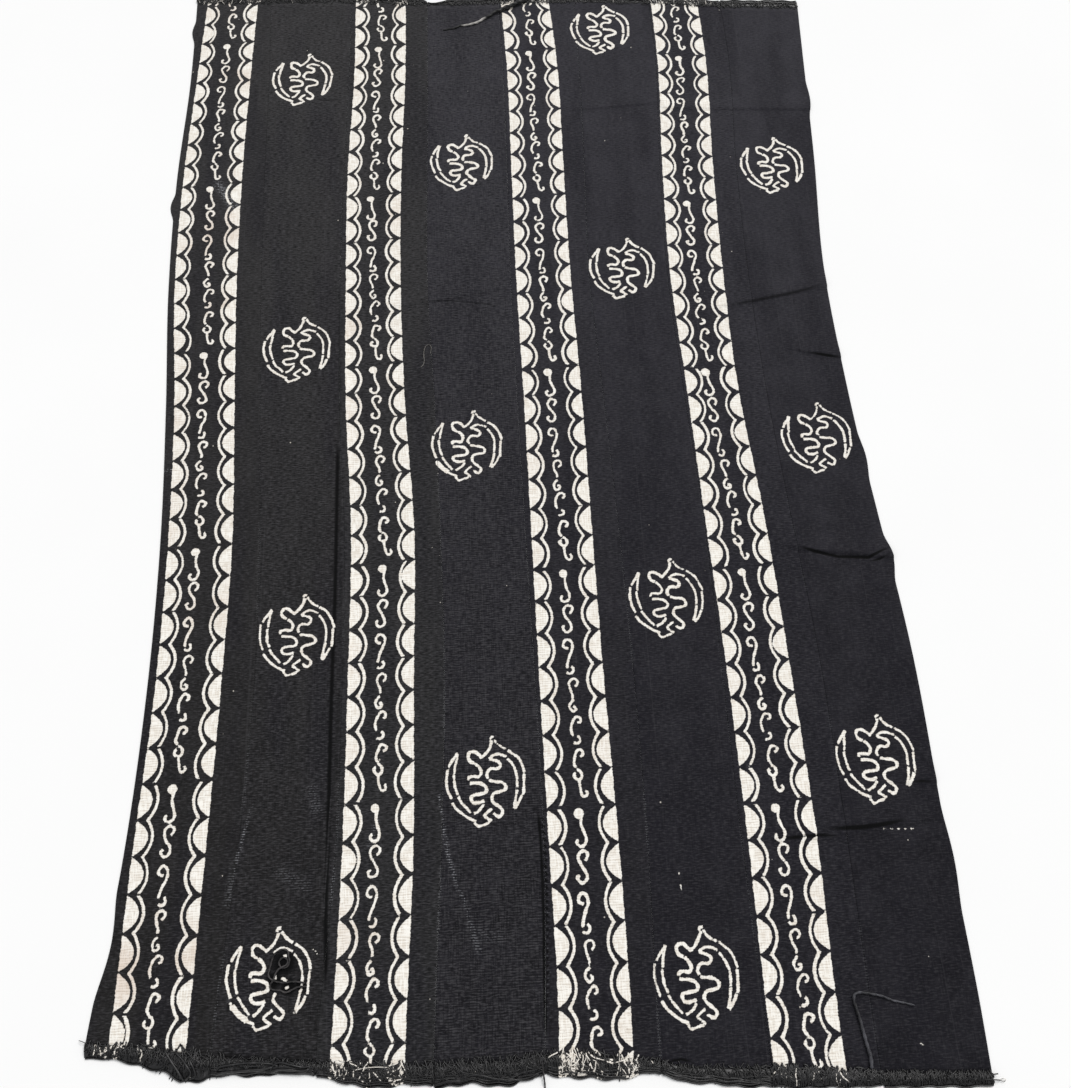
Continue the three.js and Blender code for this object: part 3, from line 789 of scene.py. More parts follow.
def top_relief(k, x, y, u):
    """Height of a strip's top: its thickness, thinner at the selvedges, with slow waves and puckers."""
    rng = np.random.default_rng(40 + k)
    width = warp_line(k + 1, y) - warp_line(k, y)
    inset = np.minimum(u, 1 - u) * width
    z = THICK - SELVEDGE_THINNING * np.exp(-(inset / SELVEDGE_REACH) ** 2)
    wave = np.zeros(x.shape)
    for _ in range(WAVES):
        long, slant, phase = rng.uniform(90, 340), rng.normal(0, 0.5), rng.uniform(0, 2 * np.pi)
        wave += np.sin(2 * np.pi * (y + slant * x) / long + phase) * rng.uniform(0.3, 1)
    z = z + WAVE_HEIGHT * wave * np.minimum(inset / 12, 1)
    for edge in (0, 1):
        inward = (u if edge == 0 else 1 - u) * width
        pucker = np.sin(2 * np.pi * y / PUCKER_PITCH + 1.5 * np.sin(y / 31 + k + edge))
        pucker = pucker * np.sin(y / 57 + edge)
        z = z + PUCKER_HEIGHT * pucker * np.exp(-inward / 7) * np.minimum(inward / 2, 1)
    body, turn = rope_at(x, y)
    z = z + ROPE_HEIGHT * body * (0.6 + 0.4 * turn)
    return z - CREASE_DEPTH * crease_at(x, y)


def wear_and_highlight_at(k, x, y, u):
    """How scuffed the cloth is, from 0 to 1: each scuff is a hump round its line, and each selvedge has
    a narrow one that comes and goes along it. The crowns of the whipped seam's turns get a painted highlight."""
    wear_and_highlight = np.zeros(x.shape)
    for ax, ay, bx, by, spread, strength in SCUFFS:
        wear_and_highlight = np.maximum(wear_and_highlight, strength * bump(distance_to_segment(x, y, ax, ay, bx, by), spread))
    width = warp_line(k + 1, y) - warp_line(k, y)
    for line, inset in ((k, u * width), (k + 1, (1 - u) * width)):
        if 0 < line < STRIPS:
            comes = np.clip(np.sin(y / 47 + 2.1 * line) + 0.6 * np.sin(y / 19 + line) + 0.3, 0, 1)
            comes = comes * np.clip(1.2 - y / 900, 0.1, 1)
            wear_and_highlight = np.maximum(wear_and_highlight, SEAM_WEAR[line] * comes * bump(inset, SEAM_WEAR_REACH))
    body, turn = rope_at(x, y)
    # Painted highlight on the crowns of the rope's turns.
    return np.maximum(wear_and_highlight, 0.35 * body * np.clip(turn, 0, 1))


def grid_quads(rows, columns, first=0):
    """Quads of a grid of points numbered row by row, facing up where rows go away and columns right."""
    a = (np.arange(rows - 1)[:, None] * columns + np.arange(columns - 1)[None, :]).reshape(-1) + first
    return np.stack([a, a + 1, a + columns + 1, a + columns], axis=1)


def add_piece(name, points, faces, material):
    """A mesh object from plan points in millimetres, placed in the part's frame in metres."""
    mesh = bpy.data.meshes.new(name)
    mesh.from_pydata(((points + PLAN_TO_PART) / 1000).tolist(), [], faces)
    mesh.polygons.foreach_set("use_smooth", np.ones(len(mesh.polygons), bool))
    mesh.materials.append(material)
    piece = bpy.data.objects.new(name, mesh)
    bpy.context.scene.collection.objects.link(piece)
    return piece


def add_attribute(piece, name, values):
    """A number for each point of a piece's mesh, for its material to read."""
    layer = piece.data.attributes.new(name, "FLOAT", "POINT")
    layer.data.foreach_set("value", np.asarray(values, np.float32).reshape(-1))


# The bake chart, in shares of the square: the top takes four upright columns, and the underside one
# narrow column beside them.
FOLDS = 4
FOLD_PITCH = 0.232
FOLD_WIDTH = 0.226
FOLD_HEIGHT = 0.986
CHART_SIDE = 0.003
CHART_FOOT = 0.004
UNDER_SIDE = 0.934
UNDER_WIDTH = 0.06
UNDER_HEIGHT = 0.99


def fold_chart(piece, top_u, top_v, under_count):
    """Lays a strip out on its bake chart. A face takes the column of its nearest row of points."""
    mesh = piece.data
    chart = mesh.uv_layers.new(name="OFBake")
    loops = np.empty(len(mesh.loops), np.int64)
    mesh.loops.foreach_get("vertex_index", loops)
    starts = np.empty(len(mesh.polygons), np.int64)
    totals = np.empty(len(mesh.polygons), np.int64)
    mesh.polygons.foreach_get("loop_start", starts)
    mesh.polygons.foreach_get("loop_total", totals)
    face_of_loop = np.repeat(np.arange(len(starts)), totals)
    count = top_u.size
    u = np.r_[top_u.reshape(-1), np.zeros(under_count)]
    v = np.r_[top_v.reshape(-1), np.zeros(under_count)]
    points = np.empty(len(mesh.vertices) * 3)
    mesh.vertices.foreach_get("co", points)
    points = points.reshape(-1, 3)
    low, high = points.min(axis=0), points.max(axis=0)
    share = (points - low) / (high - low)
    on_top = np.minimum.reduceat((loops < count).astype(int), starts)[face_of_loop] == 1
    face_v = np.minimum.reduceat(v[loops], starts)[face_of_loop]
    fold = np.minimum((face_v * FOLDS).astype(int), FOLDS - 1)
    top = np.stack([CHART_SIDE + FOLD_PITCH * fold + FOLD_WIDTH * u[loops],
                    CHART_FOOT + (v[loops] * FOLDS - fold) * FOLD_HEIGHT], axis=1)
    under = np.stack([UNDER_SIDE + UNDER_WIDTH * share[loops, 0],
                      CHART_FOOT + UNDER_HEIGHT * share[loops, 1]], axis=1)
    uv = np.where(on_top[:, None], top, under)
    chart.data.foreach_set("uv", uv.reshape(-1))


for k in range(STRIPS):
    rng = np.random.default_rng(100 + k)
    v = row_places(k)
    u = column_places(k, v)
    rows, columns = u.shape
    x, y = strip_plan(k, u, np.repeat(v[:, None], columns, axis=1))
    top = np.stack([x, y, lift(x, y, CREASE_STEEP) + top_relief(k, x, y, u)], axis=2).reshape(-1, 3)
    under_u = np.repeat(UNDER_COLUMNS[None, :], rows, axis=0)
    under_x, under_y = strip_plan(k, under_u, np.repeat(v[:, None], under_u.shape[1], axis=1))
    under_z = lift(under_x, under_y, CREASE_STEEP) * 0.9 + 0.1
    under = np.stack([under_x, under_y, under_z], axis=2).reshape(-1, 3)
    under_columns = under_u.shape[1]
    first = len(top)
    row = np.arange(rows)
    left_top, left_under = row * columns, first + row * under_columns
    right_top, right_under = left_top + columns - 1, left_under + under_columns - 1
    left_wall = np.stack([left_top[:-1], left_top[1:], left_under[1:], left_under[:-1]], axis=1)
    right_wall = np.stack([right_top[1:], right_top[:-1], right_under[:-1], right_under[1:]], axis=1)
    faces = np.vstack([grid_quads(rows, columns), grid_quads(rows, under_columns, first)[:, ::-1],
                       left_wall, right_wall]).tolist()
    near_wall = [*range(columns - 1, -1, -1), *range(first, first + under_columns)]
    far_top = (rows - 1) * columns
    far_under = first + (rows - 1) * under_columns
    far_wall = [*range(far_top, far_top + columns), *range(far_under + under_columns - 1, far_under - 1, -1)]
    faces += [near_wall, far_wall]
    ink = band_ink(k, x, y, rng) if k in BAND_SIDES else emblem_ink(k, x, y, rng)
    if k in PAINTED_OVER:
        ink = np.maximum(ink, emblem_ink(k + 1, x, y, np.random.default_rng(101 + k)))
    material = cloth_material(f"strip {k + 1} cotton", GROUND_BLACK[k], FADED_AND_SHEEN_BLACK[k], RIB_STRENGTH[k],
                              SLUB_STRENGTH[k], STAIN_STRENGTH[k])
    strip = add_piece(f"woven_strip_{k + 1}", np.vstack([top, under]), faces, material)
    unpainted = np.full(len(under), UNPAINTED)
    add_attribute(strip, "ink", np.r_[ink.reshape(-1), unpainted])
    add_attribute(strip, "wear_and_highlight", np.r_[wear_and_highlight_at(k, x, y, u).reshape(-1), np.zeros(len(under))])
    body, turn = rope_at(x, y)
    # Painted shade along the creases' feet and in the valleys between the rope's turns, with the dark spills
    # round the tangle.
    spill_and_shade = np.maximum(crease_at(x, y), body * np.clip(0.25 - turn, 0, 1))
    for spill_x, spill_y, spread in SPILLS:
        spill_and_shade = np.maximum(spill_and_shade, 0.95 * bump(np.hypot(x - spill_x, y - spill_y), spread))
    add_attribute(strip, "spill_and_shade", np.r_[spill_and_shade.reshape(-1), np.zeros(len(under))])
    fold_chart(strip, u, np.repeat(v[:, None], columns, axis=1), len(under))
    width = np.mean(warp_line(k + 1, y[:, 0]) - warp_line(k, y[:, 0]))
    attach(strip, "root")
    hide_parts(f"strip_{k + 1}")


# Frayed ends: past the last weft the warp yarns are left loose at both short ends, and wear has made
# them a low dark tangle. Under the pale bands the yarns are undyed.
def tube(path, radius, sides, lobes=0, lay=1.0, depth=0.0):
    """Tubes round paths of shape (tubes, steps, 3). The radius swells by depth cos(lobes a - turn), with
    one turn in each lay of length, which twists the plies of a yarn."""
    tangent = np.gradient(path, axis=1)
    tangent /= np.linalg.norm(tangent, axis=2, keepdims=True)
    side = np.cross([0.0, 0.0, 1.0], tangent)
    side /= np.maximum(np.linalg.norm(side, axis=2, keepdims=True), 1e-6)
    upward = np.cross(tangent, side)
    step = np.linalg.norm(np.diff(path, axis=1), axis=2)
    run = np.concatenate([np.zeros((len(path), 1)), np.cumsum(step, axis=1)], axis=1)
    angle = 2 * np.pi * np.arange(sides) / sides
    swell = 1 + depth * np.cos(lobes * angle[None, None, :] - 2 * np.pi * run[:, :, None] / lay)
    reach = (radius[:, :, None] * swell)[..., None]
    ring = np.cos(angle)[None, None, :, None] * side[:, :, None, :]
    ring = ring + np.sin(angle)[None, None, :, None] * upward[:, :, None, :]
    points = (path[:, :, None, :] + reach * ring).reshape(-1, 3)
    return points, ring_faces(*path.shape[:2], sides)


def ring_faces(tubes, steps, sides):
    """Quads between the rings of each tube, which go counterclockwise round its way, and its two caps."""
    base = (np.arange(tubes)[:, None, None] * steps + np.arange(steps - 1)[None, :, None]) * sides
    i = np.arange(sides)[None, None, :]
    j = (i + 1) % sides
    quads = np.stack([base + i, base + j, base + sides + j, base + sides + i], axis=3).reshape(-1, 4)
    start = np.arange(tubes) * steps * sides
    caps = [list(range(s + sides - 1, s - 1, -1)) for s in start]
    caps += [list(range(s, s + sides)) for s in start + (steps - 1) * sides]
    return quads.tolist() + caps


def fray_material():
    """Dark yarns with grey flecks, partly dust and partly painted highlight, and undyed patches: noise is
    added to the pale value and cut off sharply, so a share of the surface is white and the rest stays dark."""
    material, tree, shader = new_tree("frayed warp")
    place = add(tree, "TexCoord").outputs["Object"]
    grain = noise(tree, place, 900.0, 2.0)
    clump = noise(tree, place, 330.0, 1.0)
    dust_and_glint = noise(tree, place, 170.0, 2.0)
    fibre = ramp(tree, grain, 0.35, 0.7)
    dark = mix(tree, fibre, rgb(7, 7, 8), rgb(26, 25, 27))
    # Grey flecks: partly dust, partly painted highlight on the glossy yarns.
    dark = mix(tree, ramp(tree, dust_and_glint, 0.56, 0.74, 0.0, 0.28), dark, rgb(92, 90, 92))
    light = mix(tree, fibre, rgb(222, 214, 202), rgb(250, 246, 239))
    patches = math(tree, "MULTIPLY_ADD", math(tree, "SUBTRACT", clump, 0.5), 1.4, carried(tree, "pale"))
    colour = mix(tree, ramp(tree, patches, 0.44, 0.56), dark, light)
    dress(tree, shader, colour, grain, (0.5, 0.0003), ramp(tree, grain, 0.3, 0.7, 0.5, 0.32), 0.55)
    return material


FRAY = fray_material()
YARNS = {"near": [190, 130, 240, 230, 230, 130, 330, 300], "far": [130] * 8}
RIM_YARNS = {"near": [2, 7, 5, 6, 6, 6, 2, 1], "far": [2] * 8}
COARSENESS = {"near": [1.15, 1.0, 1.1, 1.1, 1.1, 1.0, 1.45, 1.05], "far": [1.0] * 8}
YARN_STEPS = 7
YARN_SIDES = 4
RIM_STEPS = 56
ROLL_STEPS = 80
ROLL_TOP = 9
END_TABLE = {"near": NEAR_END, "far": FAR_END}
END_SHARE = {"near": 0.0, "far": 1.0}
AWAY = {"near": -1, "far": 1}
UNDYED = {
    # strip and end: from x, to x, and the share of the yarns between them that the dye never reached
    (0, "near"): [(-537, -503, 0.4), (-439, -425, 0.05)],
    (2, "near"): [(-253, -234, 0.7), (-234, -184, 0.2), (-213, -200, 0.4), (-184, -163, 0.7)],
    (4, "near"): [(22, 56, 0.75), (56, 94, 0.35), (94, 120, 0.75)],
    (6, "near"): [(284, 310, 0.25), (327, 335, 0.3), (350, 372, 0.2)],
    (0, "far"): [(-524, -498, 0.45), (-498, -440, 0.12), (-440, -420, 0.45)],
    (2, "far"): [(-246, -220, 0.45), (-220, -176, 0.12), (-176, -154, 0.45)],
    (4, "far"): [(17, 44, 0.45), (44, 84, 0.12), (84, 108, 0.45)],
    (6, "far"): [(292, 318, 0.45), (318, 354, 0.12), (354, 380, 0.45)],
}
STRAYS = {
    # strip and end: single yarns by radius, how pale, and route across, along and above the frayed edge
    (0, "near"): [
        (0.45, 0.1, [(-541, -55, 1), (-545, -52, 2), (-551, -49.3, 2), (-555.5, -47.9, 1)]),
        (1.6, 0, [(-451.5, -63.6, 0), (-442.2, -74.9, 1), (-431.6, -88.4, 1), (-426, -97, 0)]),
        (1.7, 0, [(-438.1, -66.4, 0), (-425.2, -78, 1), (-417, -90, 1), (-423.6, -97, 0)]),
        (1.5, 0, [(-420.7, -73.8, 0), (-413.9, -85, 1), (-412, -94, 0), (-419, -96.5, 0)]),
        (0.7, 0.3, [(-425, -97, 1), (-419, -95, 1.6), (-412, -94, 1.2)])],
    (1, "near"): [
        (1.7, 0.015, [(-386, -88.4, 0), (-381, -84.8, 0.6), (-357, -82.8, 0.6), (-339, -83, 0.6),
                     (-322, -85, 0), (-313, -88, 0)]),
        (2.0, 0.005, [(-387, -93, 0), (-379, -91.6, 0.5), (-349, -90.6, 0.6), (-333, -90.4, 0.4),
                     (-320, -88.6, 0)]),
        (1.5, 0.015, [(-322.7, -93.4, 0), (-319, -87, 1), (-311, -84, 2), (-297.7, -87, 2), (-284, -90.4, 1),
                     (-275.5, -89.8, 0)]),
        (1.7, 0.03, [(-321, -94, 0), (-310.7, -91.3, 1.5), (-297.4, -92.6, 2), (-284, -94.6, 1),
                    (-276.5, -92.6, 0)]),
        (1.6, 0, [(-322, -92.8, 0), (-312.8, -95.2, 0.4), (-297.2, -96.4, 0.6), (-283, -96, 0.4),
                  (-275.7, -92.5, 0)])],
    (2, "near"): [
        (0.5, 0.85, [(-225.5, -97.7, 0), (-213.5, -95.6, 1.5), (-200.3, -94.7, 2), (-185.9, -95.4, 1.5),
                     (-172.7, -97.1, 0)]),
        (1.2, 0, [(-228, -100.3, 0), (-213.5, -99.4, 1), (-199, -98, 1), (-186, -96.2, 0.5)])],
    (3, "near"): [
        (1.2, 0.025, [(-88.8, -106.7, 0), (-74.5, -109.1, 1), (-60.2, -112.5, 1), (-46, -115.4, 1),
                    (-29.3, -116.6, 1), (-12.5, -115, 1), (-2.6, -111.1, 0)]),
        (1.2, 0.01, [(-86.5, -109.5, 0), (-69.7, -109.8, 1), (-54.3, -114.6, 1), (-41.1, -113.8, 1),
                     (-24.6, -117.6, 1), (-11.4, -117, 1), (-2, -112.3, 0)]),
        (0.6, 0.03, [(-38.4, -106, 0), (-34.6, -100.8, 1), (-27.3, -100.1, 1.4), (-22.7, -104.7, 1),
                     (-26.5, -109.9, 0.6), (-33.7, -109.5, 1), (-37.2, -106.1, 1.4)]),
        (0.9, 0, [(-2.5, -108.9, 0), (1.2, -107, 1), (4.7, -110.4, 1), (0.8, -114.5, 1), (-2.6, -111.1, 1)])],
    (3, "far"): [
        (1.2, 0.005, [(17, 1626, 0), (8, 1621.5, 1.6), (-2, 1613, 1.6), (-12, 1606.5, 0.6)])],
    (4, "far"): [
        (1.3, 0.005, [(64, 1650, 0), (50, 1643, 1), (37, 1636.5, 2), (26, 1632, 1)]),
        (1.3, 0.02, [(62, 1643, 0), (48, 1636, 2), (36, 1629.5, 2), (24, 1626, 1), (17, 1619.5, 0.5)]),
        (0.6, 0.8, [(31, 1636, 2), (26, 1631, 3.6), (21.5, 1627.5, 3)])],
    (7, "near"): [
        (0.7, 0, [(528, -139, 0), (537.3, -140.3, 1), (542.3, -139.5, 1), (547.2, -139.2, 1)]),
        (0.7, 0, [(526, -143.6, 0), (532.8, -144.4, 1), (542.2, -145.4, 1), (549.3, -146.3, 0)]),
        (0.4, 0.5, [(547, -146, 0), (549.3, -145.6, 0), (552, -144.8, 0), (554.4, -145.3, 0),
                    (555, -146.7, 0), (552.6, -147.8, 0), (549.8, -147, 0)])],
}


def frayed_reach(k, end, x):
    """How far the frayed end stands out past the weave at X, and how high it piles up there."""
    table = END_TABLE[end]
    woven = end_value(table, WOVEN, x)
    wobble = 1 + 0.05 * np.sin(x / 4.7 + k) + 0.05 * np.sin(x / 11.3)
    if end == "far":
        wobble = wobble - 0.65 * bump(x + 103, 32)
    return np.abs(end_value(table, TIPS, x) - woven) * wobble, end_value(table, PILE, x)


def roll_height(k, end, x, out):
    """Top of the matted edge: from the weave's top it swells to the pile and rolls down to its rim,
    pile 4 w (1 - w) over a straight fall that ends at the rim's own height, with lumps along it."""
    reach, pile = frayed_reach(k, end, x)
    w = np.clip(out / reach, 0, 1)
    lump = 0.72 + 0.16 * np.sin(x / 6.1 + 3 * w) + 0.12 * np.sin(x / 2.9 + 5 * w + k)
    fall = 1.45 * (1 - w ** 4) + 0.35 * w ** 4
    return fall + (pile - 1.4) * lump * 4 * w * (1 - w)


def undyed(k, end, x):
    """Share of the yarns that were left pale at X."""
    share = np.full(np.shape(x), 0.02 if k in BAND_SIDES else 0.004)
    for from_x, to_x, part in UNDYED.get((k, end), []):
        share = np.where((x > from_x) & (x < to_x), np.maximum(share, part), share)
    return share


def matted_edge(k, end):
    """The matted edge as a closed roll: its profile goes over the top and back flat underneath."""
    u = np.linspace(0.001, 0.999, ROLL_STEPS)
    root_x, root_y = strip_plan(k, u, np.full(ROLL_STEPS, END_SHARE[end]))
    reach = frayed_reach(k, end, root_x)[0] - 1.0
    w = np.linspace(0, 1, ROLL_TOP)
    out = 0.4 + w[None, :] * (reach[:, None] - 0.4)
    top_z = roll_height(k, end, root_x[:, None], out)
    under = out[:, [-1, ROLL_TOP // 2, 0]]
    out, z = np.hstack([out, under]), np.hstack([top_z, np.full(under.shape, 0.12)])
    x = np.repeat(root_x[:, None], out.shape[1], axis=1)
    ring = np.stack([x, root_y[:, None] + AWAY[end] * out, z], axis=2)
    if end == "far":
        ring = ring[:, ::-1]
    return ring.reshape(-1, 3), ring_faces(1, ROLL_STEPS, ring.shape[1]), x.reshape(-1)


def warp_tangle(k, end, rng):
    """Cut ends of the warp. Each starts on the last of the weave, wanders outwards by a random walk of
    its heading over the matted edge, and stops at its rim."""
    count = YARNS[end][k]
    u = np.sort(rng.uniform(0.004, 0.996, count))
    root_x, root_y = strip_plan(k, u, np.full(count, END_SHARE[end]))
    reach = frayed_reach(k, end, root_x)[0]
    start = rng.uniform(-0.3, 0.35, count) * reach
    length = (reach - start) * rng.uniform(0.4, 1.05, count)
    heading = rng.normal(0, 0.42, count)[:, None] + np.cumsum(rng.normal(0, 0.3, (count, YARN_STEPS)), axis=1)
    step = (length / YARN_STEPS)[:, None]
    x = np.c_[root_x, root_x[:, None] + np.cumsum(step * np.sin(heading), axis=1)]
    out = start[:, None] + np.c_[np.zeros(count), np.cumsum(step * np.abs(np.cos(heading)), axis=1)]
    x = np.clip(x, root_x[0] - 1.5, root_x[-1] + 1.5)
    along = np.linspace(0, 1, YARN_STEPS + 1)[None, :]
    thick = rng.uniform(0.55, 0.95, count) if end == "near" else rng.uniform(0.4, 0.7, count)
    radius = COARSENESS[end][k] * thick[:, None] * (1 - 0.3 * along ** 2)
    limit = frayed_reach(k, end, x)[0]
    fall = np.clip((out / limit - 0.85) / 0.15, 0, 1)
    plan_y = root_y[:, None] + AWAY[end] * out
    rest = np.where(out < 0, THICK + lift(x, plan_y, CREASE_STEEP), roll_height(k, end, x, out))
    loft = rng.uniform(0.1, 1.5, count)[:, None] * np.sin(np.pi * along)
    z = rest * (1 - fall) + 0.1 * fall + radius * 0.7 + loft * (1 - fall)
    path = np.stack([x, plan_y, np.maximum(z, radius + 0.05)], axis=2)
    share = undyed(k, end, root_x)
    pale = (rng.uniform(0, 1, count) < 0.6 * share) * rng.uniform(0.6, 1, count)
    shade = pale[:, None] * (1 - 0.5 * along ** 2)
    return path, radius, shade


def edge_yarns(k, end, rng):
    """Long yarns caught along the rim of the matted edge, each on a slow wave. They are pale in short
    runs where the warp is undyed."""
    count = RIM_YARNS[end][k]
    u = np.linspace(0.01, 0.99, RIM_STEPS)[None, :].repeat(count, axis=0)
    root_x, root_y = strip_plan(k, u, np.full(u.shape, END_SHARE[end]))
    reach = frayed_reach(k, end, root_x)[0]
    phase = rng.uniform(0, 6.28, (count, 1))
    place = np.linspace(0.97, 0.5, count)[:, None] + rng.uniform(-0.06, 0.02, (count, 1))
    place = place + 0.05 * np.sin(root_x / rng.uniform(9, 22, (count, 1)) + phase)
    out = np.minimum(place, 1.0) * reach
    radius = np.repeat(rng.uniform(0.8, 1.25, (count, 1)), RIM_STEPS, axis=1)
    z = np.maximum(roll_height(k, end, root_x, out), 0.2) + radius * 0.8
    runs = np.sin(root_x / 3.3 + phase) + np.sin(root_x / 7.7 + 2 * phase) > 0.5
    shade = np.where(runs, 0.8 * undyed(k, end, root_x), 0.0)
    return np.stack([root_x, root_y + AWAY[end] * out, z], axis=2), radius, shade


def stray_yarn(k, end, radius, pale, route):
    """One single yarn on its own route over the frayed edge and the surface beyond it."""
    points = rounded(route, 5)
    woven = end_value(END_TABLE[end], WOVEN, points[:, 0])
    out = AWAY[end] * (points[:, 1] - woven)
    reach = frayed_reach(k, end, points[:, 0])[0]
    rest = np.where(out < 0, THICK, roll_height(k, end, points[:, 0], out))
    rest = rest * np.clip(1 - (out - reach) / 2, 0, 1)
    z = np.maximum(rest + points[:, 2], 0.05) + radius * 0.8
    return np.c_[points[:, :2], z][None], np.full((1, len(points)), radius), np.full((1, len(points)), pale)


def joined(parts):
    """Several meshes as one: their points and values in a row, and their faces numbered to match."""
    points, faces, values, first = [], [], [], 0
    for part_points, part_faces, part_values in parts:
        points.append(part_points)
        faces += [[i + first for i in face] for face in part_faces]
        values.append(part_values)
        first += len(part_points)
    return np.vstack(points), faces, np.concatenate(values)


def fray_piece(k, end):
    """One frayed end of a strip: its matted edge, the cut ends over it and the yarns along its rim."""
    rng = np.random.default_rng(200 + 10 * k + (end == "far"))
    roll_points, roll_faces, roll_x = matted_edge(k, end)
    parts = [(roll_points, roll_faces, undyed(k, end, roll_x) * 0.9)]
    strays = [stray_yarn(k, end, *stray) for stray in STRAYS.get((k, end), [])]
    for path, radius, pale in [warp_tangle(k, end, rng), edge_yarns(k, end, rng), *strays]:
        points, faces = tube(path, radius, YARN_SIDES)
        parts.append((points, faces, np.repeat(pale.reshape(-1), YARN_SIDES)))
    points, faces, pale = joined(parts)
    piece = add_piece(f"frayed_{end}_{k + 1}", points, faces, FRAY)
    add_attribute(piece, "pale", pale)
    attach(piece, "root")
    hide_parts(f"fringe_{end}_{k + 1}")


for k in range(STRIPS):
    for end in ("near", "far"):
        fray_piece(k, end)


# Loose threads: five ends of yarn that came off the sewing and the fray. They are limp, twisted from
# two plies, and lie where they fell, with both ends bare.
THREADS = {
    # name: diameter, share of it at the start and at the end, darkest and lightest shade, worn pale from
    # and to as shares of the length, and the route across, along and above the cloth
    "thread_far": (3.6, 1.9, 0.5, rgb(9, 9, 10), rgb(42, 41, 42), (0.5, 0.8), [
        (66, 1645, 0.8), (50, 1639, 1.2), (37, 1632.5, 0.8), (26, 1629, 0.8), (17, 1622.5, 0.8),
        (7.6, 1619, 1.2), (-2, 1610.5, 0.6), (-13, 1605, 0), (-24, 1597, 0), (-37, 1592, 0.6),
        (-48, 1590.5, 0), (-57, 1590, 0), (-66, 1585, 0.6), (-75, 1584, 0), (-88, 1581, 0)]),
    "thread_near": (3.0, 1.55, 0.75, rgb(8, 8, 10), rgb(74, 74, 80), (0.0, 0.0), [
        (397, -126, 0), (398, -114, 0), (396, -102, 0), (394, -88, 0.6), (392, -74, 1), (390, -61, 0.6),
        (388, -51, 0.6), (390, -44, 0.8), (396, -42, 0.6), (404, -43, 0), (414, -45, 0.6), (425, -48, 0.8),
        (436, -53, 0), (448, -56, 0), (462, -60, 0)]),
    "thread_hanging": (2.0, 1.1, 0.8, rgb(14, 13, 14), rgb(56, 54, 55), (0.0, 0.0), [
        (3, -99, 0), (3.5, -105, 0), (4, -111, 0), (4.5, -117, 0), (5, -123, 0), (5, -130, 0), (4, -137, 0),
        (3, -144, 0), (2.5, -151, 0), (3, -158, 0)]),
    "thread_tangle": (2.3, 1.0, 1.0, rgb(5, 5, 6), rgb(66, 63, 63), (0.0, 0.0), [
        (-284, 3, 0), (-290, 4, 0), (-297, 5, 0), (-303, 5, 0), (-309, 4.5, 0), (-316, 5.2, 0), (-322, 7, 0),
        (-328, 10.5, 0), (-330, 15, 0), (-329, 20, 0), (-327.5, 26, 0), (-326, 32, 0), (-323, 38, 0),
        (-317.5, 42, 0), (-311.5, 43, 0), (-306.5, 40, 0), (-306.2, 35.5, 0), (-304.8, 31.5, 0),
        (-304.8, 26.5, 0), (-307.3, 22.8, 0), (-311, 21.5, 0), (-314.8, 22.8, 0), (-317.2, 26, 0),
        (-316.8, 30, 0), (-314, 32.9, 0), (-310.2, 33.1, 0), (-307.3, 30.6, 0), (-306.4, 27.4, 0.6),
        (-308.6, 24.4, 1.4), (-312.4, 22.6, 2.2), (-316.6, 20.6, 2.2), (-320, 17, 1.2), (-322, 12, 1.6),
        (-323.4, 7.5, 2.2), (-326.5, 3.6, 1.2), (-326.8, -0.8, 0), (-322.5, -3.2, 0), (-315, -4, 0),
        (-308, -6.8, 0), (-301, -4.5, 0), (-294, -1.6, 0), (-287, -1, 0), (-283, -1.2, 0)]),
    "thread_hook": (1.6, 1.0, 0.8, rgb(62, 60, 59), rgb(112, 109, 105), (0.0, 0.0), [
        (-134, 877, 0), (-130, 882, 0), (-128.5, 889, 0), (-129, 896, 0), (-129, 903, 0), (-128, 910, 0),
        (-125, 916, 0), (-120.5, 917.5, 0), (-117.5, 913, 0), (-118, 906, 0), (-118.5, 901, 0)]),
}
THREAD_CLEAR = 0.15
THREAD_SIDES = 12
PLIES = 2
PLY_DEPTH = 0.17
TURN_IN_DIAMETERS = 3.0


def ground_height(x, y):
    """The cloth's top at a point, or the surface it lies on past the frayed near end."""
    woven, tips, pile = (end_value(NEAR_END, c, x) for c in (WOVEN, TIPS, PILE))
    on_cloth = np.maximum(lift(x, y) + THICK, pile * bump(y - woven, 12))
    return np.where(y >= woven, on_cloth, np.where(y >= tips, pile, pile * bump(y - tips, 16)))


def thread_material(name, dark, light):
    """Spun yarn: its shade changes slowly along it and finely across its fibres."""
    material, tree, shader = new_tree(name)
    place = add(tree, "TexCoord").outputs["Object"]
    slow = noise(tree, place, 60.0, 2.0)
    fibre = noise(tree, place, 1400.0, 2.0)
    shade = mix(tree, ramp(tree, math(tree, "ADD", slow, fibre), 0.75, 1.3), dark, light)
    shade = mix(tree, carried(tree, "pale"), shade, rgb(176, 172, 168))
    dress(tree, shader, shade, fibre, (0.5, 0.0002), ramp(tree, fibre, 0.3, 0.7, 0.7, 0.5), 0.4)
    return material


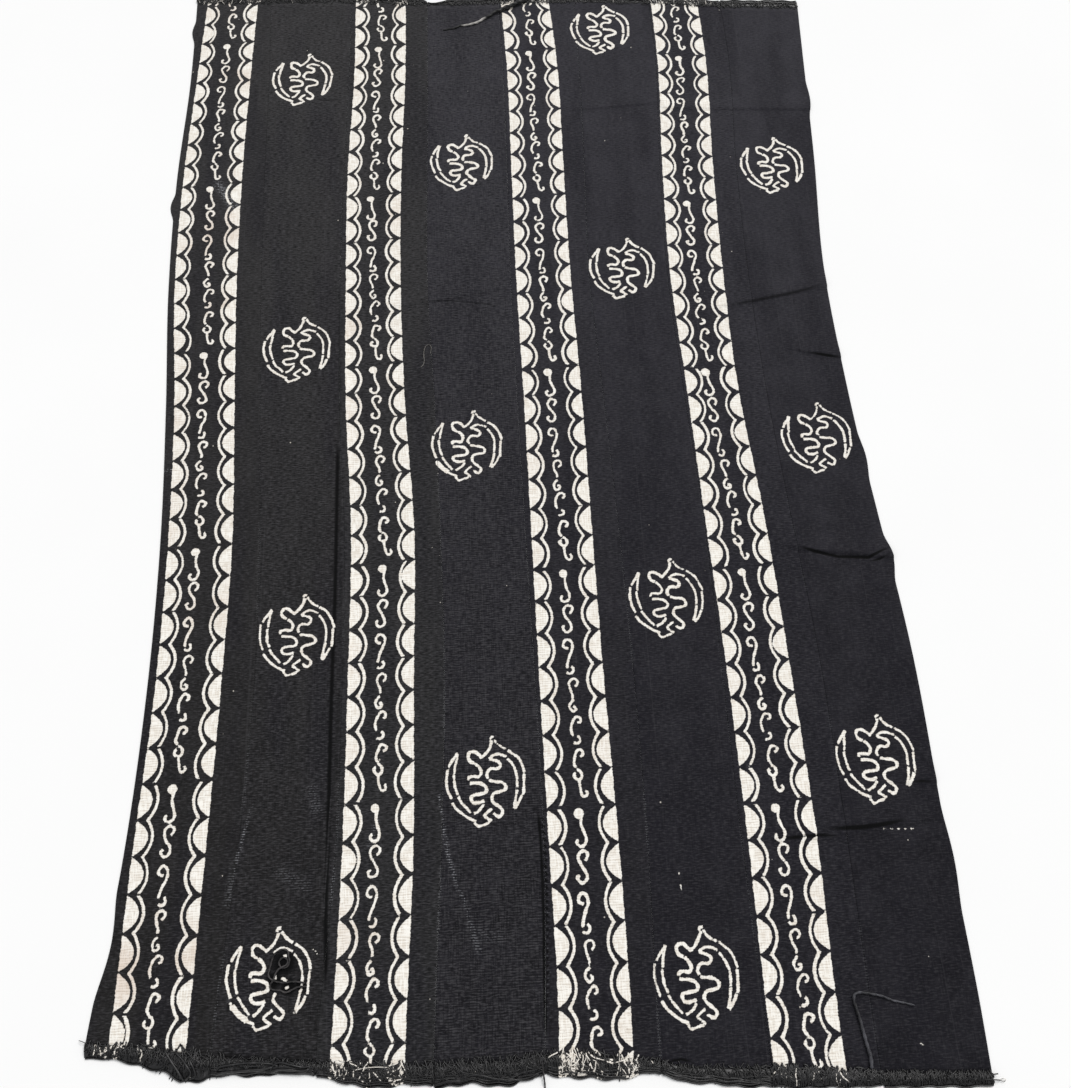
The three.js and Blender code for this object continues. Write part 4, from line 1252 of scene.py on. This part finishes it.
for name, (diameter, first, last, dark, light, (pale_from, pale_to), route) in THREADS.items():
    plan = rounded(route, 6)
    start, end = diameter * first / 2, diameter * last / 2
    share = np.linspace(0, 1, len(plan))
    height = ground_height(plan[:, 0], plan[:, 1]) + start + (end - start) * share + THREAD_CLEAR
    path = np.c_[plan[:, :2], height + np.maximum(plan[:, 2], 0)]
    run = np.r_[0, np.cumsum(np.linalg.norm(np.diff(path, axis=0), axis=1))]
    even = np.linspace(0, run[-1], max(24, int(run[-1] / (diameter * 0.45))))
    path = np.stack([np.interp(even, run, path[:, axis]) for axis in range(3)], axis=1)
    share = np.linspace(0, 1, len(path))
    radius = (start + (end - start) * share)[None, :] * 0.95
    radius[0, [0, -1]] *= 0.5
    points, faces = tube(path[None], radius, THREAD_SIDES, PLIES, diameter * TURN_IN_DIAMETERS, PLY_DEPTH)
    shade_name = name.replace("_", " ") + " yarn"
    thread = add_piece(name + "_yarn", points, faces, thread_material(shade_name, dark, light))
    worn = np.clip(np.minimum(share - pale_from, pale_to - share) / 0.04, 0, 1)
    add_attribute(thread, "pale", np.repeat(worn, THREAD_SIDES))
    nodes = ["thread_loop", "thread_coil"] if name == "thread_tangle" else [name]
    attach(thread, "root")
    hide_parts(*nodes)


# Surroundings: a plain pale floor, a wide soft light over the far right, and an even pale sky.
def floor_material():
    """Matt white board with a faint unevenness."""
    material, tree, shader = new_tree("pale floor")
    place = add(tree, "TexCoord").outputs["Object"]
    board = mix(tree, noise(tree, place, 3.0, 2.0), rgb(246, 246, 246), rgb(250, 250, 250))
    tree.links.new(board, shader.inputs["Base Color"])
    shader.inputs["Roughness"].default_value = 0.9
    shader.inputs["Specular IOR Level"].default_value = 0.2
    return material


FLOOR_HALF = 4000.0
FLOOR_HEIGHT = -0.2
corners = np.array([(-1, -1), (1, -1), (1, 1), (-1, 1)], float) * FLOOR_HALF
floor = add_piece("floor", np.c_[corners, np.full(4, FLOOR_HEIGHT)], [[0, 1, 2, 3]], floor_material())

sky = bpy.data.worlds.new("studio")
sky.use_nodes = True
backdrop = sky.node_tree.nodes["Background"]
backdrop.inputs["Color"].default_value = (0.97, 0.985, 1.0, 1.0)
backdrop.inputs["Strength"].default_value = 0.56
bpy.context.scene.world = sky

light_data = bpy.data.lights.new("window", "SUN")
light_data.angle = np.radians(34)
light_data.energy = 2.05
light_data.color = (1.0, 0.985, 0.965)
light = bpy.data.objects.new("window", light_data)
light.location = (1.5, 1.6, 2.6)
light.rotation_euler = (np.radians(-32), np.radians(26), 0.0)
bpy.context.scene.collection.objects.link(light)
bpy.context.scene.view_settings.view_transform = "Standard"
